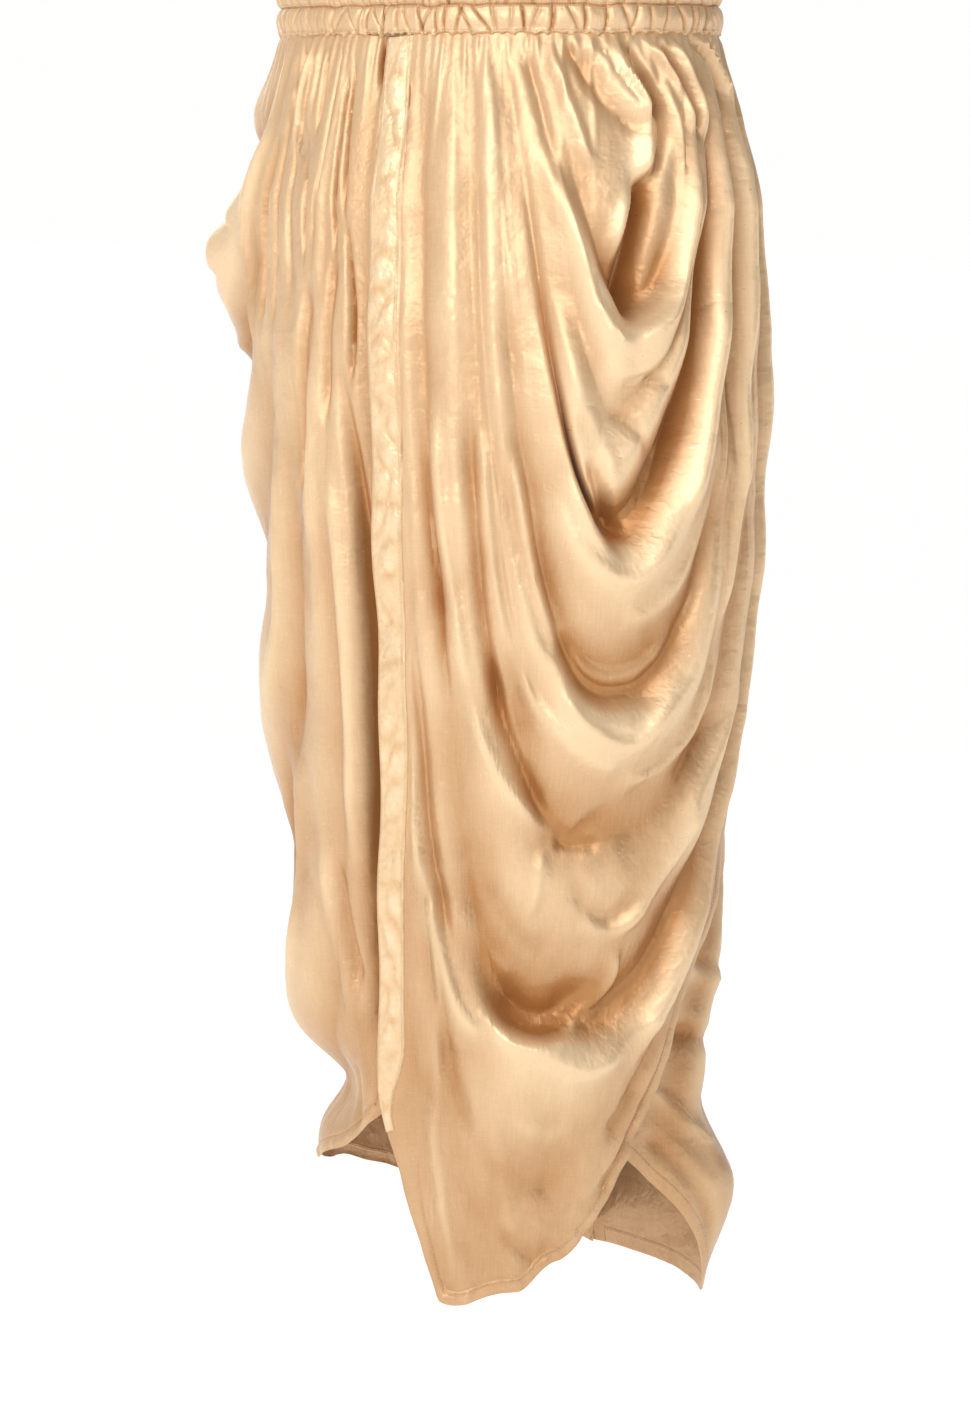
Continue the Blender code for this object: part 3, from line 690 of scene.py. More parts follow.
    crushed = total(ridge, [(folded, 0.60), (fine_ridge, 0.35)])
    crushed = math_node(group, "MULTIPLY", crushed, inside.outputs["Crush"])
    height = total(crushed, [(streaks, 0.018), (glints, 0.085), (twill.outputs["Fac"], 0.010),
                             (groove_and_shade, -0.13), (thread, 0.16)])
    link(group, height, outside.inputs["Height"])
    return group


satin_parts = satin_group()
SATIN_LIGHT = (0.87, 0.635, 0.385, 1)
# The deep colour is the cloth's darker tone and also the painted shade of its troughs and grooves.
SATIN_DEEP_AND_SHADE = (0.46, 0.21, 0.065, 1)


def satin(name, light, deep, roughness, crush, bump):
    """Metallic satin cloth: the shared group turns the flat coordinates, the fold depth and the
    sewn lines into the colour, roughness and relief of a part-metal, sheened surface. The fold
    depth and the sewn grooves reach the colour as painted shade, and the ridges as painted highlight."""
    material = bpy.data.materials.new(name)
    material.use_nodes = True
    tree = material.node_tree
    shader = tree.nodes["Principled BSDF"]
    flat = tree.nodes.new("ShaderNodeUVMap")
    flat.uv_map = "cloth"
    # The fold depth attribute brings painted shade and painted highlight into the colour.
    depth = tree.nodes.new("ShaderNodeAttribute")
    depth.attribute_name = "painted_fold_shade"
    sewn = tree.nodes.new("ShaderNodeAttribute")
    sewn.attribute_name = "stitch_line"
    parts = tree.nodes.new("ShaderNodeGroup")
    parts.node_tree = satin_parts
    link(tree, flat.outputs["UV"], parts.inputs["Cloth"])
    link(tree, depth.outputs["Fac"], parts.inputs["Depth"])
    link(tree, sewn.outputs["Vector"], parts.inputs["Stitch Line"])
    parts.inputs["Light Colour"].default_value = light
    parts.inputs["Deep And Shade Colour"].default_value = deep
    parts.inputs["Roughness"].default_value = roughness
    parts.inputs["Crush"].default_value = crush
    relief = tree.nodes.new("ShaderNodeBump")
    relief.inputs["Strength"].default_value = 1.0
    relief.inputs["Distance"].default_value = bump
    link(tree, parts.outputs["Height"], relief.inputs["Height"])
    link(tree, parts.outputs["Base Color"], shader.inputs["Base Color"])
    link(tree, parts.outputs["Roughness"], shader.inputs["Roughness"])
    link(tree, relief.outputs["Normal"], shader.inputs["Normal"])
    grain = tree.nodes.new("ShaderNodeTangent")
    grain.direction_type = "UV_MAP"
    grain.uv_map = "cloth"
    link(tree, grain.outputs["Tangent"], shader.inputs["Tangent"])
    shader.inputs["Anisotropic"].default_value = 0.25
    shader.inputs["Metallic"].default_value = 0.40
    shader.inputs["Specular IOR Level"].default_value = 0.70
    shader.inputs["Sheen Weight"].default_value = 0.22
    shader.inputs["Sheen Roughness"].default_value = 0.35
    shader.inputs["Sheen Tint"].default_value = (1.0, 0.94, 0.84, 1)
    return material


satin_cloth = satin("champagne_satin", SATIN_LIGHT, SATIN_DEEP_AND_SHADE, roughness=0.40, crush=1.0, bump=0.0022)


def drape_grid(folds, edge, front_width, row_gap, blend_steps, along_steps):
    """Angle, drop and stand-off of a leg piece's grid: the fold lines, about row_gap millimetres
    apart at their lowest, then the plain stretch out to the hem's inner line, then the hem."""
    low = column(folds, FOLD_COLUMNS, "low_mm")
    steps = np.maximum(4, np.round(np.abs(np.diff(low)) / row_gap)).astype(int)
    place = np.concatenate([number + np.arange(step) / step for number, step in enumerate(steps)]
                           + [[len(folds) - 1]])
    place = place if (len(place) + blend_steps) % 2 else np.delete(place, 1)
    along = np.linspace(-1, 1, 2 * along_steps + 1)
    deg, drop, out = fold_lines(folds, place, along)
    strip_share = 1 - smooth(*STRIP_FADE, along)
    inset = HEM_WIDTH + (front_width - HEM_WIDTH) * strip_share
    hem_deg, hem_drop = edge_line(edge, along, inset)
    edge_deg, edge_drop = edge_line(edge, along, 0.0)
    low_edge = smooth(0.60, 0.75, edge_drop)
    sway = 0.0022 * low_edge * waves(np.radians(edge_deg) * UNROLL, edge_drop, seed=15, size=0.055)
    edge_drop = edge_drop + sway
    hem_drop = hem_drop + sway
    share = np.linspace(0, 1, blend_steps + 1)[1:, None]
    hem_share = np.linspace(0, 1, HEM_ROWS + 1)[1:, None]
    fade = (1 - share) ** 2 * (1 + 2 * share)
    deg = np.vstack([deg, deg[-1] + (hem_deg - deg[-1]) * share, hem_deg + (edge_deg - hem_deg) * hem_share])
    drop = np.vstack([drop, drop[-1] + (hem_drop - drop[-1]) * share,
                      hem_drop + (edge_drop - hem_drop) * hem_share])
    # The hem's turned-up rows stand out a little and pucker between the stitches.
    tuck = np.array([[0.0006], [0.0014], [0.0013], [0.0004]]) * low_edge
    pucker = 0.0008 * low_edge * waves(np.radians(hem_deg) * UNROLL, hem_drop, seed=16, size=0.020)
    last = out[-1] * fade
    last[-1] = last[-1] - 0.0007 * low_edge
    hem_swell = np.array([[0.4], [0.8], [0.9], [1.0]])
    out = np.vstack([out, last, tuck + pucker * hem_swell])
    return deg, drop, out, along


HEM_STITCH = 0.0016


def hem_stitch(deg, drop, hem_row):
    """Distance of a leg piece's grid points from the hem's sewn line, just outside row hem_row, and
    the run of that row in metres."""
    across = np.zeros(deg.shape)
    step = np.hypot(np.radians(np.diff(deg, axis=0)) * UNROLL, np.diff(drop, axis=0))
    across[1:] = np.cumsum(step, axis=0)
    across = across - across[hem_row] - HEM_STITCH
    run = np.hypot(np.radians(np.diff(deg[hem_row])) * UNROLL, np.diff(drop[hem_row]))
    run = np.concatenate([[0], np.cumsum(run)])
    return np.stack([across, np.broadcast_to(run, across.shape)], axis=-1)


def running_mean(values, reach, axis):
    """Mean over reach samples to each side along one axis, edge samples repeated past the rim."""
    pad = [(0, 0), (0, 0)]
    pad[axis] = (reach + 1, reach)
    total = np.cumsum(np.pad(values, pad, mode="edge"), axis=axis)
    ahead = np.take(total, np.arange(2 * reach + 1, total.shape[axis]), axis=axis)
    behind = np.take(total, np.arange(total.shape[axis] - 2 * reach - 1), axis=axis)
    return (ahead - behind) / (2 * reach + 1)


def painted_fold_shade(out, height, reach, axis=0):
    """Fold depth from -1 in a trough to 1 on a ridge: the stand-off over its own running mean. The
    material turns it into painted shade in troughs and painted highlight on ridges.
    """
    mean = running_mean(running_mean(out, reach, axis), reach, axis)
    return np.clip((out - mean) / height, -1, 1)


def low_shade(drop):
    """How much deeper the cloth's colour lies towards the hem, where it hangs in the shade."""
    return LOW_SHADE * smooth(0.38, 0.85, drop)


def strip_side(deg, drop):
    """How far a point lies outside the facing strip's inner line (metres)."""
    along = np.linspace(-1, STRIP_END, 80)
    line_deg, line_drop = edge_line(LEFT_EDGE, along, STRIP_WIDTH)
    return np.radians(deg - np.interp(drop, line_drop, line_deg)) * UNROLL


def unrolled(deg, drop):
    """The cloth's flat coordinates in metres."""
    return np.stack([np.radians(deg) * UNROLL, -drop], axis=-1)


left_deg, left_drop, left_out, left_along = drape_grid(
    LEFT_FOLDS, LEFT_EDGE, STRIP_WIDTH, row_gap=4.7, blend_steps=10, along_steps=170)
left_x = np.radians(left_deg) * UNROLL

# The crumpling eases off under the strip and in the smooth bag of the lowest fold, and deepens
# on the low front.
left_open = smooth(SEAM_DROP, 0.09, left_drop)
left_bare = smooth(0.000, 0.015, strip_side(left_deg, left_drop))
left_bare = np.maximum(left_bare, smooth(0.86, 0.93, left_drop))
left_belly = smooth(0.55, 0.72, left_drop) * (1 - smooth(80, 100, left_deg))
left_calm = 1 - 0.85 * np.exp(-((left_deg - 55) / 17) ** 2 - ((left_drop - 0.790) / 0.055) ** 2)
left_out = left_out * (1 + 0.22 * waves(left_x, left_drop, seed=3, size=0.23))
left_detail = crease_relief(LEFT_CREASES, left_deg, left_drop) * smooth(SEAM_DROP - 0.004, 0.034, left_drop)
left_detail = left_detail + waist_gathers(left_deg, left_drop, seed=11, first=12, last=127)
left_crush = 0.0007 * (0.45 + left_belly) * crumple(left_x, left_drop, seed=21, size=0.075)
left_detail = left_detail + left_crush * left_open * left_calm
left_small = small_creases(left_deg, left_drop, seed=5, count=46, deg_span=(14, 120), mm_span=(140, 960))
left_detail = left_detail + left_small * left_open * left_calm
left_sway = PANEL_SWAY * waves(left_x, left_drop, SWAY_SEED, SWAY_SIZE) * left_open
left_out = (left_out + left_detail) * left_bare + left_sway
left_points = on_form(left_deg, left_drop, left_out)
left_sewn = hem_stitch(left_deg, left_drop, -1 - HEM_ROWS)
left_sewn[:, left_along < -0.5, 0] = 1.0
# Painted shade: the colour darkens in troughs and towards the hem, and lightens on ridges.
left_painted_shade = painted_fold_shade(left_out, height=0.012, reach=12) - low_shade(left_drop)
left_drape = cloth_piece("left_drape_cloth", left_points, left_points - facing_out(left_points) * CLOTH,
                         unrolled(left_deg, left_drop), left_painted_shade, left_sewn)
left_drape.data.materials.append(satin_cloth)
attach(left_drape, "root")
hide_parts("left_drape")


# Right drape: the wearer's right leg piece, of the same satin. Its cowl hangs at the outer hip,
# its front edge lies under the left piece, and it draws in above a short flared ankle hem.
FRONT_TROUGH = 0.0120
LAP = 0.0045
NECK_DEPTH = 0.026
PLEAT_SHADE = 150
LAP_SHADE = 55
RIGHT_FOLDS = np.array([
    (62, 74, 21, 84, 2.0, 2.0, 1, 1, 1),
    (56, 74, 80, 92, 2.0, 2.0, 3, 14, 4),
    (52, 74, 130, 96, 2.2, 2.2, -3, -14, -2),
    (48, 73, 205, 100, 2.4, 2.4, 4, 31, 8),
    (44, 72, 292, 103, 2.6, 2.6, -2, -9, -3),
    (40, 72, 360, 106, 3.0, 2.8, 2, 10, 5),
    (35, 72, 440, 109, 3.2, 3.0, -2.5, -8, -3),
    (31, 72, 575, 112, 3.4, 3.2, 2, 12, 5),
    (26, 72, 670, 114, 3.6, 3.4, -2.5, -6, -3),
    (20, 71, 795, 116, 4.2, 3.6, 3, 13, 4),
    (14, 70, 850, 118, 4.6, 3.8, -1, -4, 2),
])
RIGHT_EDGE = np.array([
    (-1.00, -7.0, 21), (-0.94, -7.0, 100), (-0.82, -6.5, 300), (-0.70, -4.0, 480), (-0.62, 1.0, 640),
    (-0.55, 5.0, 780), (-0.50, 8.0, 864), (-0.35, 24, 892), (-0.20, 40, 912), (0.00, 66, 925),
    (0.20, 90, 940), (0.40, 112, 955), (0.47, 122, 940), (0.55, 127, 800), (0.75, 128, 420),
    (0.90, 128, 140), (1.00, 128, 21),
])
# Narrow pleats below the waist seam, written like the creases; their bottoms are shaded.
RIGHT_PLEATS = np.array([
    (1.9, 24, 1.6, 36, 1.2, 50, 0.2, 66, 2.2, 2.2, -9),
    (31.5, 36, 30.9, 66, 31, 98, 26.5, 122, 2.0, 2.4, -5.5),
    (27.5, 110, 24.4, 128, 22.6, 155, 21.5, 205, 2.0, 2.4, -5.5),
    (25.6, 24, 24, 48, 23, 68, 22.6, 105, 1.8, 2.6, -4),
    (37.5, 26, 36.4, 50, 35.6, 74, 35.2, 110, 1.8, 2.4, -3.5),
    (13.4, 50, 12.9, 84, 11.4, 137, 10.3, 200, 2.0, 2.6, -5.5),
    (11.5, 40, 10.2, 78, 8.8, 110, 6.4, 172, 2.6, 2.4, -6),
    (6.8, 160, 4.6, 205, 3.8, 248, 6.2, 300, 2.6, 2.6, -6.5),
    (18.2, 24, 17.6, 60, 17.4, 110, 17.8, 170, 1.6, 2.2, -2.5),
])
RIGHT_CREASES = np.array([
    (43, 26, 39.5, 52, 37, 80, 36, 110, 2.4, 4, -4),
    (32.5, 26, 34, 60, 33, 95, 28, 125, 6, 3, 3.5),
    (35.5, 26, 36, 50, 36, 70, 35, 100, 3, 5, -4),
    (28.5, 26, 27.5, 50, 27, 75, 25, 105, 5, 3, 3),
    (10.6, 185, 11.6, 225, 13.5, 270, 15, 330, 4, 7, -6),
    (17.5, 24, 17.5, 70, 18, 130, 18.5, 220, 2.4, 4, -3),
    (8.6, 255, 5.4, 400, 5.6, 560, 10, 705, 6, 7, -12),
    (14, 330, 11.5, 440, 11.5, 560, 15, 690, 9, 8, 7),
    (20, 200, 22, 260, 24, 320, 26, 390, 4, 14, -8),
    (42, 90, 46, 150, 46, 200, 42, 262, 3, 10, -9),
    (46, 80, 51, 150, 51, 205, 46, 270, 9, 4, 7),
    (26, 230, 26.5, 280, 28.5, 320, 30, 400, 8, 9, 2.5),
    (19, 250, 20, 330, 20, 420, 20, 520, 9, 8, 3),
    (21.5, 660, 20, 700, 18, 735, 15, 775, 8, 7, -8),
    (25, 640, 23, 700, 21, 745, 18, 800, 9, 8, 5),
    (17, 28, 17, 90, 16.5, 160, 16.5, 260, 6, 6, 2.5),
    (33, 70, 32.5, 110, 30, 160, 27, 240, 3, 6, -4),
    (38.5, 60, 38.5, 110, 37.5, 180, 35, 270, 3, 5, -4),
    (47, 26, 48, 70, 50, 120, 54, 160, 6, 6, 2),
    (52, 26, 54, 60, 58, 95, 64, 115, 3, 5, -4),
    (60, 214, 66, 212, 71, 207, 78, 198, 5, 7, -5),
    (56, 180, 61, 172, 66, 155, 71, 135, 8, 9, -8),
    (54, 246, 60, 262, 66, 268, 74, 262, 7, 6, 5),
    (36, 330, 38, 420, 42, 500, 50, 560, 9, 9, 4),
    (30, 300, 31, 400, 33, 500, 38, 600, 9, 9, -4),
    (44, 560, 48, 640, 54, 700, 64, 742, 10, 10, -5),
    (36, 560, 38, 640, 42, 720, 48, 780, 10, 10, 4),
    (60, 440, 68, 456, 78, 450, 88, 420, 10, 12, -5),
    (58, 640, 68, 664, 80, 655, 90, 620, 11, 12, -5),
    (14, 800, 12, 825, 12, 850, 13, 870, 8, 8, 3),
    (26, 820, 23, 850, 21, 870, 20, 890, 8, 8, -3),
    (80, 250, 86, 230, 92, 200, 98, 160, 9, 9, 4),
    (84, 400, 90, 380, 96, 350, 102, 310, 9, 9, 4),
    (84, 620, 90, 590, 96, 550, 102, 500, 9, 9, 4),
    (78, 700, 86, 680, 92, 650, 98, 610, 10, 10, -4),
    (88, 760, 94, 735, 99, 700, 104, 650, 9, 9, 4),
    (95, 60, 97, 200, 98, 350, 98, 500, 8, 8, -4),
    (102, 60, 104, 200, 106, 350, 106, 520, 8, 8, 4),
    (110, 60, 111, 200, 112, 380, 112, 560, 8, 8, -4),
])


def under_lap(deg, drop):
    """The piece sinks below the left piece's front edge, in a trough that fades at the hem."""
    arm = LEFT_EDGE[:LEFT_FRONT_ARM]
    lap_deg = -np.interp(drop, arm[:, 2] / 1000, arm[:, 1])
    trough = FRONT_TROUGH * smooth(0.16, 0.42, drop) * (1 - smooth(0.74, 0.86, drop))
    return -(LAP + trough) * (1 - smooth(lap_deg + 1.5, lap_deg + 9.0, deg))


def ankle_neck(deg, drop):
    """How far the piece draws in above its hem before it flares again."""
    level = np.exp(-((drop - 0.852) / 0.032) ** 2)
    return -NECK_DEPTH * level * smooth(12, 40, deg) * (1 - smooth(80, 104, deg))


right_deg, right_drop, right_out, _ = drape_grid(
    RIGHT_FOLDS, RIGHT_EDGE, HEM_WIDTH, row_gap=5.0, blend_steps=44, along_steps=160)
right_x = np.radians(right_deg) * UNROLL
right_open = smooth(SEAM_DROP, 0.09, right_drop)
right_clear = smooth(3, 12, right_deg)
right_below = smooth(SEAM_DROP, 0.04, right_drop)
right_out = right_out * (1 + 0.14 * waves(right_x, right_drop, seed=33, size=0.23))
right_out = right_out + crease_relief(RIGHT_CREASES, right_deg, right_drop) * right_below
right_pleats = crease_relief(RIGHT_PLEATS, right_deg, right_drop) * right_below
right_out = right_out + waist_gathers(right_deg, right_drop, seed=41, first=-4, last=127)
right_out = right_out + 0.0006 * crumple(right_x, right_drop, seed=51, size=0.065) * right_open * right_clear
right_small = small_creases(right_deg, right_drop, seed=6, count=40, deg_span=(14, 118), mm_span=(230, 880))
right_out = right_out + right_small * right_open
right_out = right_out + 0.0010 * waves(right_x, right_drop, seed=9, size=0.11) * right_open * right_clear
right_lap = under_lap(right_deg, right_drop)
# Painted shade: the colour darkens in troughs, in the pleats' bottoms, in the trough beside the left piece's
# edge and towards the hem, and lightens on ridges.
right_painted_shade = painted_fold_shade(right_out, height=0.011, reach=14) - low_shade(right_drop)
right_painted_shade = right_painted_shade + PLEAT_SHADE * right_pleats + LAP_SHADE * right_lap
right_out = right_out + right_pleats + right_lap + ankle_neck(right_deg, right_drop)
right_points = on_form(-right_deg, right_drop, right_out)
right_drape = cloth_piece("right_drape_cloth", right_points, right_points - facing_out(right_points) * CLOTH,
                          unrolled(-right_deg, right_drop), right_painted_shade,
                          hem_stitch(right_deg, right_drop, -1 - HEM_ROWS))
right_drape.data.materials.append(satin_cloth)
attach(right_drape, "root")
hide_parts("right_drape")


# Back pieces: two upright panels of the same satin from the waist to the hem, lapped under the
# leg pieces' back edges and meeting at the centre back. The left one flares at the ankle.
FLARE_REACH = 0.034
WAIST_LAP = 0.0018
BACK_FOLDS = 4
BACK_FOLD_HEIGHT = 0.0055
BACK_MIDDLE = 180
BACK_WAVE = 0.024
BACK_WAVE_SIZE = 0.38
MIDDLE_STITCH = 0.003
BACK_PIECES = {
    "back_left": {
        "side": 1, "low_lap": 0.0090, "seed": 71,
        "lap_edge": [(21, 122), (560, 121), (640, 112), (730, 98), (849, 84), (893, 80), (1100, 76)],
        "hem": [(74, 885), (84, 897), (91, 912), (99, 939), (110, 980), (118, 1012), (126, 1028),
                (145, 1018), (180, 1008)],
        "creases": [(86, 838, 97, 854, 108, 884, 118, 900, 4, 8, 5),
                    (92, 880, 100, 905, 108, 940, 116, 985, 6, 8, -4),
                    (98, 742, 106, 755, 114, 765, 124, 770, 8, 10, 5),
                    (98, 800, 106, 806, 116, 815, 126, 816, 8, 10, -5),
                    (140, 60, 142, 240, 139, 420, 143, 620, 8, 8, 4)],
    },
    "back_right": {
        "side": -1, "low_lap": 0.0, "seed": 81,
        "lap_edge": [(21, 121), (800, 121), (940, 116), (1100, 112)],
        "hem": [(110, 950), (130, 965), (180, 1010)],
        "creases": [(150, 60, 148, 260, 152, 460, 149, 640, 8, 8, -4),
                    (130, 520, 138, 600, 146, 690, 158, 760, 8, 10, 4),
                    (126, 640, 134, 720, 144, 800, 158, 850, 8, 10, -4)],
    },
}


def back_stitch(deg, drop):
    """Distance from the hem's sewn line or the centre-back one, whichever is nearer, with the run."""
    from_hem = drop[-1] - drop - HEM_WIDTH
    from_middle = np.radians(BACK_MIDDLE - deg) * UNROLL - MIDDLE_STITCH
    nearer = np.abs(from_hem) < np.abs(from_middle)
    return np.stack([np.where(nearer, from_hem, from_middle),
                     np.where(nearer, np.radians(deg) * UNROLL, drop)], axis=-1)


def flare(deg, drop):
    """How far the left back piece stands out at its hem's outer corner."""
    around = np.exp(-((deg - 122) / 22) ** 2)
    return FLARE_REACH * around * smooth(0.860, 0.935, drop) * (1 - 0.6 * smooth(0.935, 1.03, drop))


def back_grid(piece, down_steps, across_steps):
    """Angle, drop and stand-off of a back piece: upright folds between its lapped edge and the
    centre back, wandering as they fall, and fading into the hem."""
    down = np.linspace(0, 1, down_steps + 1)[:, None]
    across = np.linspace(0, 1, across_steps + 1)[None, :]
    lap_drop, lap_deg = np.array(piece["lap_edge"], float).T
    hem_deg, hem_drop = np.array(piece["hem"], float).T
    deg = lap_deg[0] + (BACK_MIDDLE - lap_deg[0]) * across
    drop = SEAM_DROP + down * (np.interp(deg, hem_deg, hem_drop) / 1000 - SEAM_DROP)
    for _ in range(6):
        start = np.interp(drop * 1000, lap_drop, lap_deg)
        deg = start + (BACK_MIDDLE - start) * across
        drop = SEAM_DROP + down * (np.interp(deg, hem_deg, hem_drop) / 1000 - SEAM_DROP)
    x = np.radians(deg) * UNROLL
    lap_fade = smooth(9, 24, deg - start)
    clear = lap_fade * (1 - smooth(0.93, 1.0, across))
    wander = across + BACK_WAVE * waves(x, drop, piece["seed"], BACK_WAVE_SIZE)
    fold = BACK_FOLD_HEIGHT * np.sin(2 * np.pi * BACK_FOLDS * wander) * (
        1 + 0.3 * waves(x, drop, piece["seed"] + 1, size=0.3))
    minor = 0.0018 * np.sin(2 * np.pi * 2.6 * BACK_FOLDS * wander + 1.0) * (1 - smooth(0.3, 0.7, drop))
    fold = (fold + minor) * clear * smooth(SEAM_DROP, 0.16, drop) * (1 - smooth(0.80, 0.95, drop))
    detail = (small_creases(deg, drop, piece["seed"] + 2, count=40, deg_span=(128, 178), mm_span=(90, 900))
              + 0.0007 * crumple(x, drop, piece["seed"] + 3, size=0.06)
              + 0.0014 * waves(x, drop, piece["seed"] + 4, size=0.12))
    lap = WAIST_LAP + (LAP - WAIST_LAP) * smooth(SEAM_DROP, 0.060, drop)
    lap = -(lap + piece["low_lap"] * smooth(0.58, 0.68, drop)) * (1 - lap_fade)
    out = fold + detail * clear * smooth(SEAM_DROP, 0.09, drop)
    out = out + waist_gathers(deg, drop, piece["seed"] + 5, first=130, last=178)
    out = out + crease_relief(np.array(piece["creases"], float), deg, drop) * smooth(3, 12, deg - start)
    return deg, drop, out, lap + flare(piece["side"] * deg, drop), back_stitch(deg, drop)


for back_name, back in BACK_PIECES.items():
    back_deg, back_drop, back_out, back_lie, back_sewn = back_grid(back, down_steps=150, across_steps=100)
    back_points = on_form(back["side"] * back_deg, back_drop, back_out + back_lie)
    back_inner = on_form(back["side"] * back_deg, back_drop, back_out + back_lie - CLOTH)
    # Painted shade: the colour darkens between the upright folds and towards the hem, and lightens on their
    # crests.
    back_painted_shade = painted_fold_shade(back_out, height=0.006, reach=8, axis=1) - low_shade(back_drop)
    back_cloth = cloth_piece(back_name + "_cloth", back_points, back_inner,
                             unrolled(back["side"] * back_deg, back_drop), back_painted_shade, back_sewn)
    back_cloth.data.materials.append(satin_cloth)
    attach(back_cloth, "root")
    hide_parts(back_name)


# Front strip: a narrow facing of the same satin, crushed by wear, that lies on the left piece
# along its centre-front edge from the waist to the ankle opening and is stitched down both sides.
STRIP_STEPS = 300
STRIP_COLUMNS = 27
STRIP_STITCH = 0.0022
STRIP_CLEAR = 0.0003
FACING_LIGHT = (0.90, 0.68, 0.43, 1)
# The facing's deep colour is its darker tone and also the painted shade of its crush hollows.
FACING_DEEP_AND_SHADE = (0.70, 0.43, 0.20, 1)
crushed_facing = satin("crushed_facing", FACING_LIGHT, FACING_DEEP_AND_SHADE, roughness=0.38, crush=1.6, bump=0.0026)


def strip_grid():
    """The left piece's own points from its facing line to its edge, finer across and down."""
    along = np.linspace(-1, STRIP_END, STRIP_STEPS + 1)
    width = STRIP_WIDTH - (STRIP_WIDTH - HEM_WIDTH) * smooth(STRIP_END - 0.035, STRIP_END, along)
    hem_deg, hem_drop = edge_line(LEFT_EDGE, along, width)
    edge_deg, edge_drop = edge_line(LEFT_EDGE, along, 0.0)
    share = np.linspace(0, 1, STRIP_COLUMNS)[:, None]
    return hem_deg + (edge_deg - hem_deg) * share, hem_drop + (edge_drop - hem_drop) * share, share


strip_deg, strip_drop, strip_share = strip_grid()
strip_x = np.radians(strip_deg) * UNROLL
strip_open = smooth(SEAM_DROP, 0.09, strip_drop)
strip_under = PANEL_SWAY * waves(strip_x, strip_drop, SWAY_SEED, SWAY_SIZE) * strip_open
strip_rise = np.sin(np.pi * strip_share) ** 0.5
strip_crush = 0.0013 * np.maximum(crumple(strip_x, strip_drop, seed=91, size=0.034), -0.6) * strip_rise
strip_relief = (strip_crush + 0.0006) * smooth(SEAM_DROP, 0.06, strip_drop) * strip_rise
strip_lift = STRIP_CLEAR + 0.0010 * strip_rise + strip_relief
strip_points = on_form(strip_deg, strip_drop, strip_under + strip_lift)
strip_inner = on_form(strip_deg, strip_drop, strip_under + 0.0001)
strip_from_side = STRIP_WIDTH * np.minimum(strip_share, 1 - strip_share) - STRIP_STITCH + 0 * strip_deg
# Painted shade: the colour darkens in the crush's hollows and lightens on its ridges.
front_strip = cloth_piece("front_strip_cloth", strip_points, strip_inner, unrolled(strip_deg, strip_drop),
                          painted_fold_shade(strip_crush, height=0.0014, reach=6, axis=1),
                          np.stack([strip_from_side, strip_drop], axis=-1))
front_strip.data.materials.append(crushed_facing)
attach(front_strip, "root")
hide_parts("front_strip")


# Gusset: the short bottom piece of the same satin between the two ankle openings, sewn to the
# front hem and the back hem and raised a little in the middle.
GUSSET_DROP = 0.990
GUSSET_LIFT = 0.035
GUSSET_FRONT_DEG = (18, 52)
GUSSET_BACK_DEG = (222, 178)
GUSSET_SLANT = 0.024
gusset_across = np.linspace(0, 1, 41)[None, :]
gusset_along = np.linspace(0, 1, 61)[:, None]
gusset_level = np.zeros_like(gusset_across)
gusset_front = on_form(GUSSET_FRONT_DEG[0] + (GUSSET_FRONT_DEG[1] - GUSSET_FRONT_DEG[0]) * gusset_across,
                       GUSSET_DROP + gusset_level, gusset_level - 0.0026)
gusset_back = on_form(GUSSET_BACK_DEG[0] + (GUSSET_BACK_DEG[1] - GUSSET_BACK_DEG[0]) * gusset_across,
                      GUSSET_DROP - GUSSET_SLANT * (1 - gusset_across), gusset_level - 0.0022)
gusset_points = gusset_front + (gusset_back - gusset_front) * gusset_along[..., None]
gusset_sag = np.sin(np.pi * gusset_along)
gusset_points[..., 2] += GUSSET_LIFT * gusset_sag + 0.002 * gusset_sag * waves(
    gusset_points[..., 0], gusset_points[..., 1], seed=95, size=0.06)
gusset_upper = gusset_points + np.array([0.0, 0.0, CLOTH])
gusset = cloth_piece("gusset_cloth", gusset_points, gusset_upper, gusset_points[..., :2],
                     np.zeros(gusset_points.shape[:2]))
gusset.data.materials.append(satin_cloth)
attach(gusset, "root")
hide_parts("gusset")


# Waistband: a casing of the same satin, drawn up on elastic in two puffed rows with a stitched
# channel between them, so that it stands in narrow slanting gathers all the way round.
BAND_HALF = 0.021
BAND_PUFF = 0.0042
BAND_GATHER = 0.0034
BAND_GATHERS = 104
BAND_RADIUS = 0.17
BAND_SPREAD = 0.26
BAND_STITCH = 0.0016
BAND_INSIDE = -0.0022


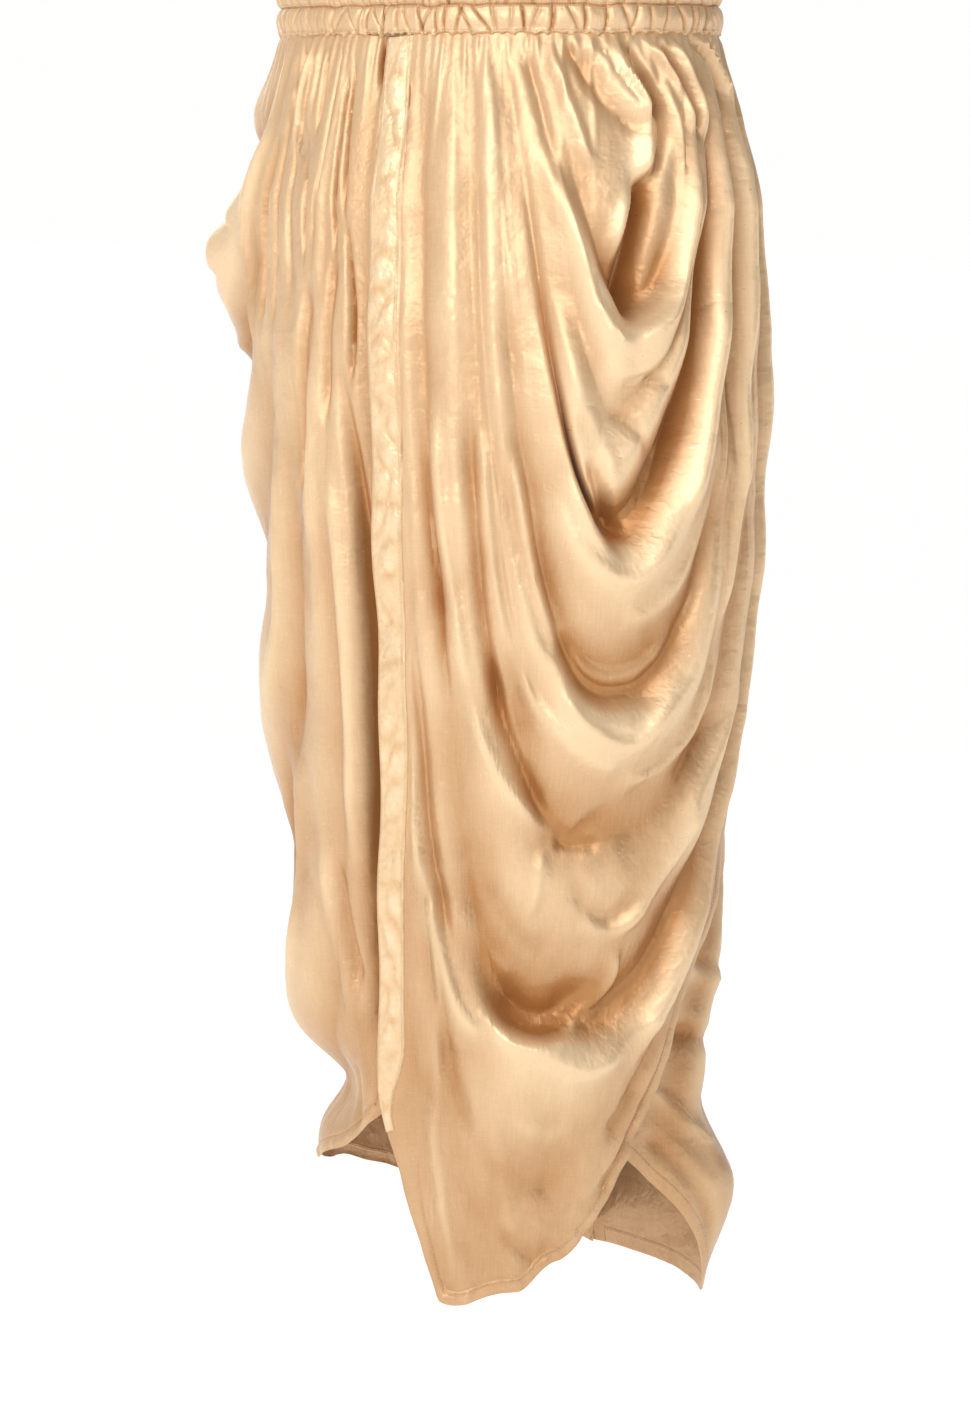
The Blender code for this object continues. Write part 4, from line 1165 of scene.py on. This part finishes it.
def gathered(turn, row_level, seed):
    """Gathers of one row: about a hundred narrow valleys at seeded places round the band, each with
    its own depth, width and slant, over a slow swell."""
    draw = np.random.default_rng(seed)
    gaps = draw.uniform(0.45, 1.6, BAND_GATHERS)
    places = np.cumsum(gaps) / gaps.sum() * 2 * np.pi
    height = np.zeros(np.broadcast(turn, row_level).shape)
    for place in places:
        slant = draw.normal(0.0, 0.045)
        width = draw.uniform(0.006, 0.012)
        depth = draw.uniform(0.35, 1.0)
        off = (turn - place - slant * (row_level - 0.5) + np.pi) % (2 * np.pi) - np.pi
        height = height - depth * np.exp(-np.abs(off / width) ** 1.5)
    return height + 0.25 * np.sin(9 * turn + seed) * np.sin(4 * turn)


band_turn = np.linspace(0, 2 * np.pi, 1501)[:-1][None, :]
band_level = np.linspace(0, 2, 33)[:, None]
in_lower = band_level > 1
row_level = np.where(in_lower, band_level - 1, band_level) + 0 * band_turn
band_puff = np.sin(np.pi * row_level) ** 0.5
band_wave = np.where(in_lower, gathered(band_turn, row_level, seed=4), gathered(band_turn, row_level, seed=5))
band_ends = smooth(0.0, 0.10, band_level) * (1 - smooth(1.95, 2.0, band_level))
band_out = BAND_PUFF * band_puff + BAND_GATHER * (band_wave + 0.3) * (0.35 + 0.65 * band_puff) * band_ends
band_run = band_turn * BAND_RADIUS
band_swell = np.sin(np.pi * band_level / 2) ** 0.3
band_sway = 0.0012 * waves(band_run, 0 * band_run, seed=97, size=0.035) * band_swell
band_rim = smooth(1.80, 2.0, band_level)
band_sway = band_sway + 0.0011 * band_rim * waves(band_run, 0 * band_run, seed=98, size=0.012)
band_sway = np.maximum(band_sway + 0.0013 * band_rim, 0.0007 * band_rim)
band_out = band_out + 0.0010 * band_rim * (1 + waves(band_run, 0 * band_run, seed=99, size=0.009))
band_deg = np.degrees(band_turn) + 0 * band_level
band_drop = -BAND_HALF * (1 - band_level) + band_sway
band_points = on_form(band_deg, band_drop, band_out)
band_inner = on_form(band_deg, band_drop, 0 * band_out + BAND_INSIDE)
band_flat = np.stack([band_turn * BAND_SPREAD + 0 * band_level, -band_drop], axis=-1)
band_from_line = BAND_HALF * np.minimum(np.abs(band_level - 1), 2 - band_level) - BAND_STITCH + 0 * band_turn
# Painted shade: the colour darkens in the gathers' valleys and lightens on the puffs between them.
waistband = cloth_piece("waistband_cloth", band_points, band_inner, band_flat,
                        painted_fold_shade(band_out, height=0.003, reach=7, axis=1),
                        np.stack([band_from_line, band_flat[..., 0]], axis=-1), closed=True)
waistband.data.materials.append(satin_cloth)
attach(waistband, "root")
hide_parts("waistband")
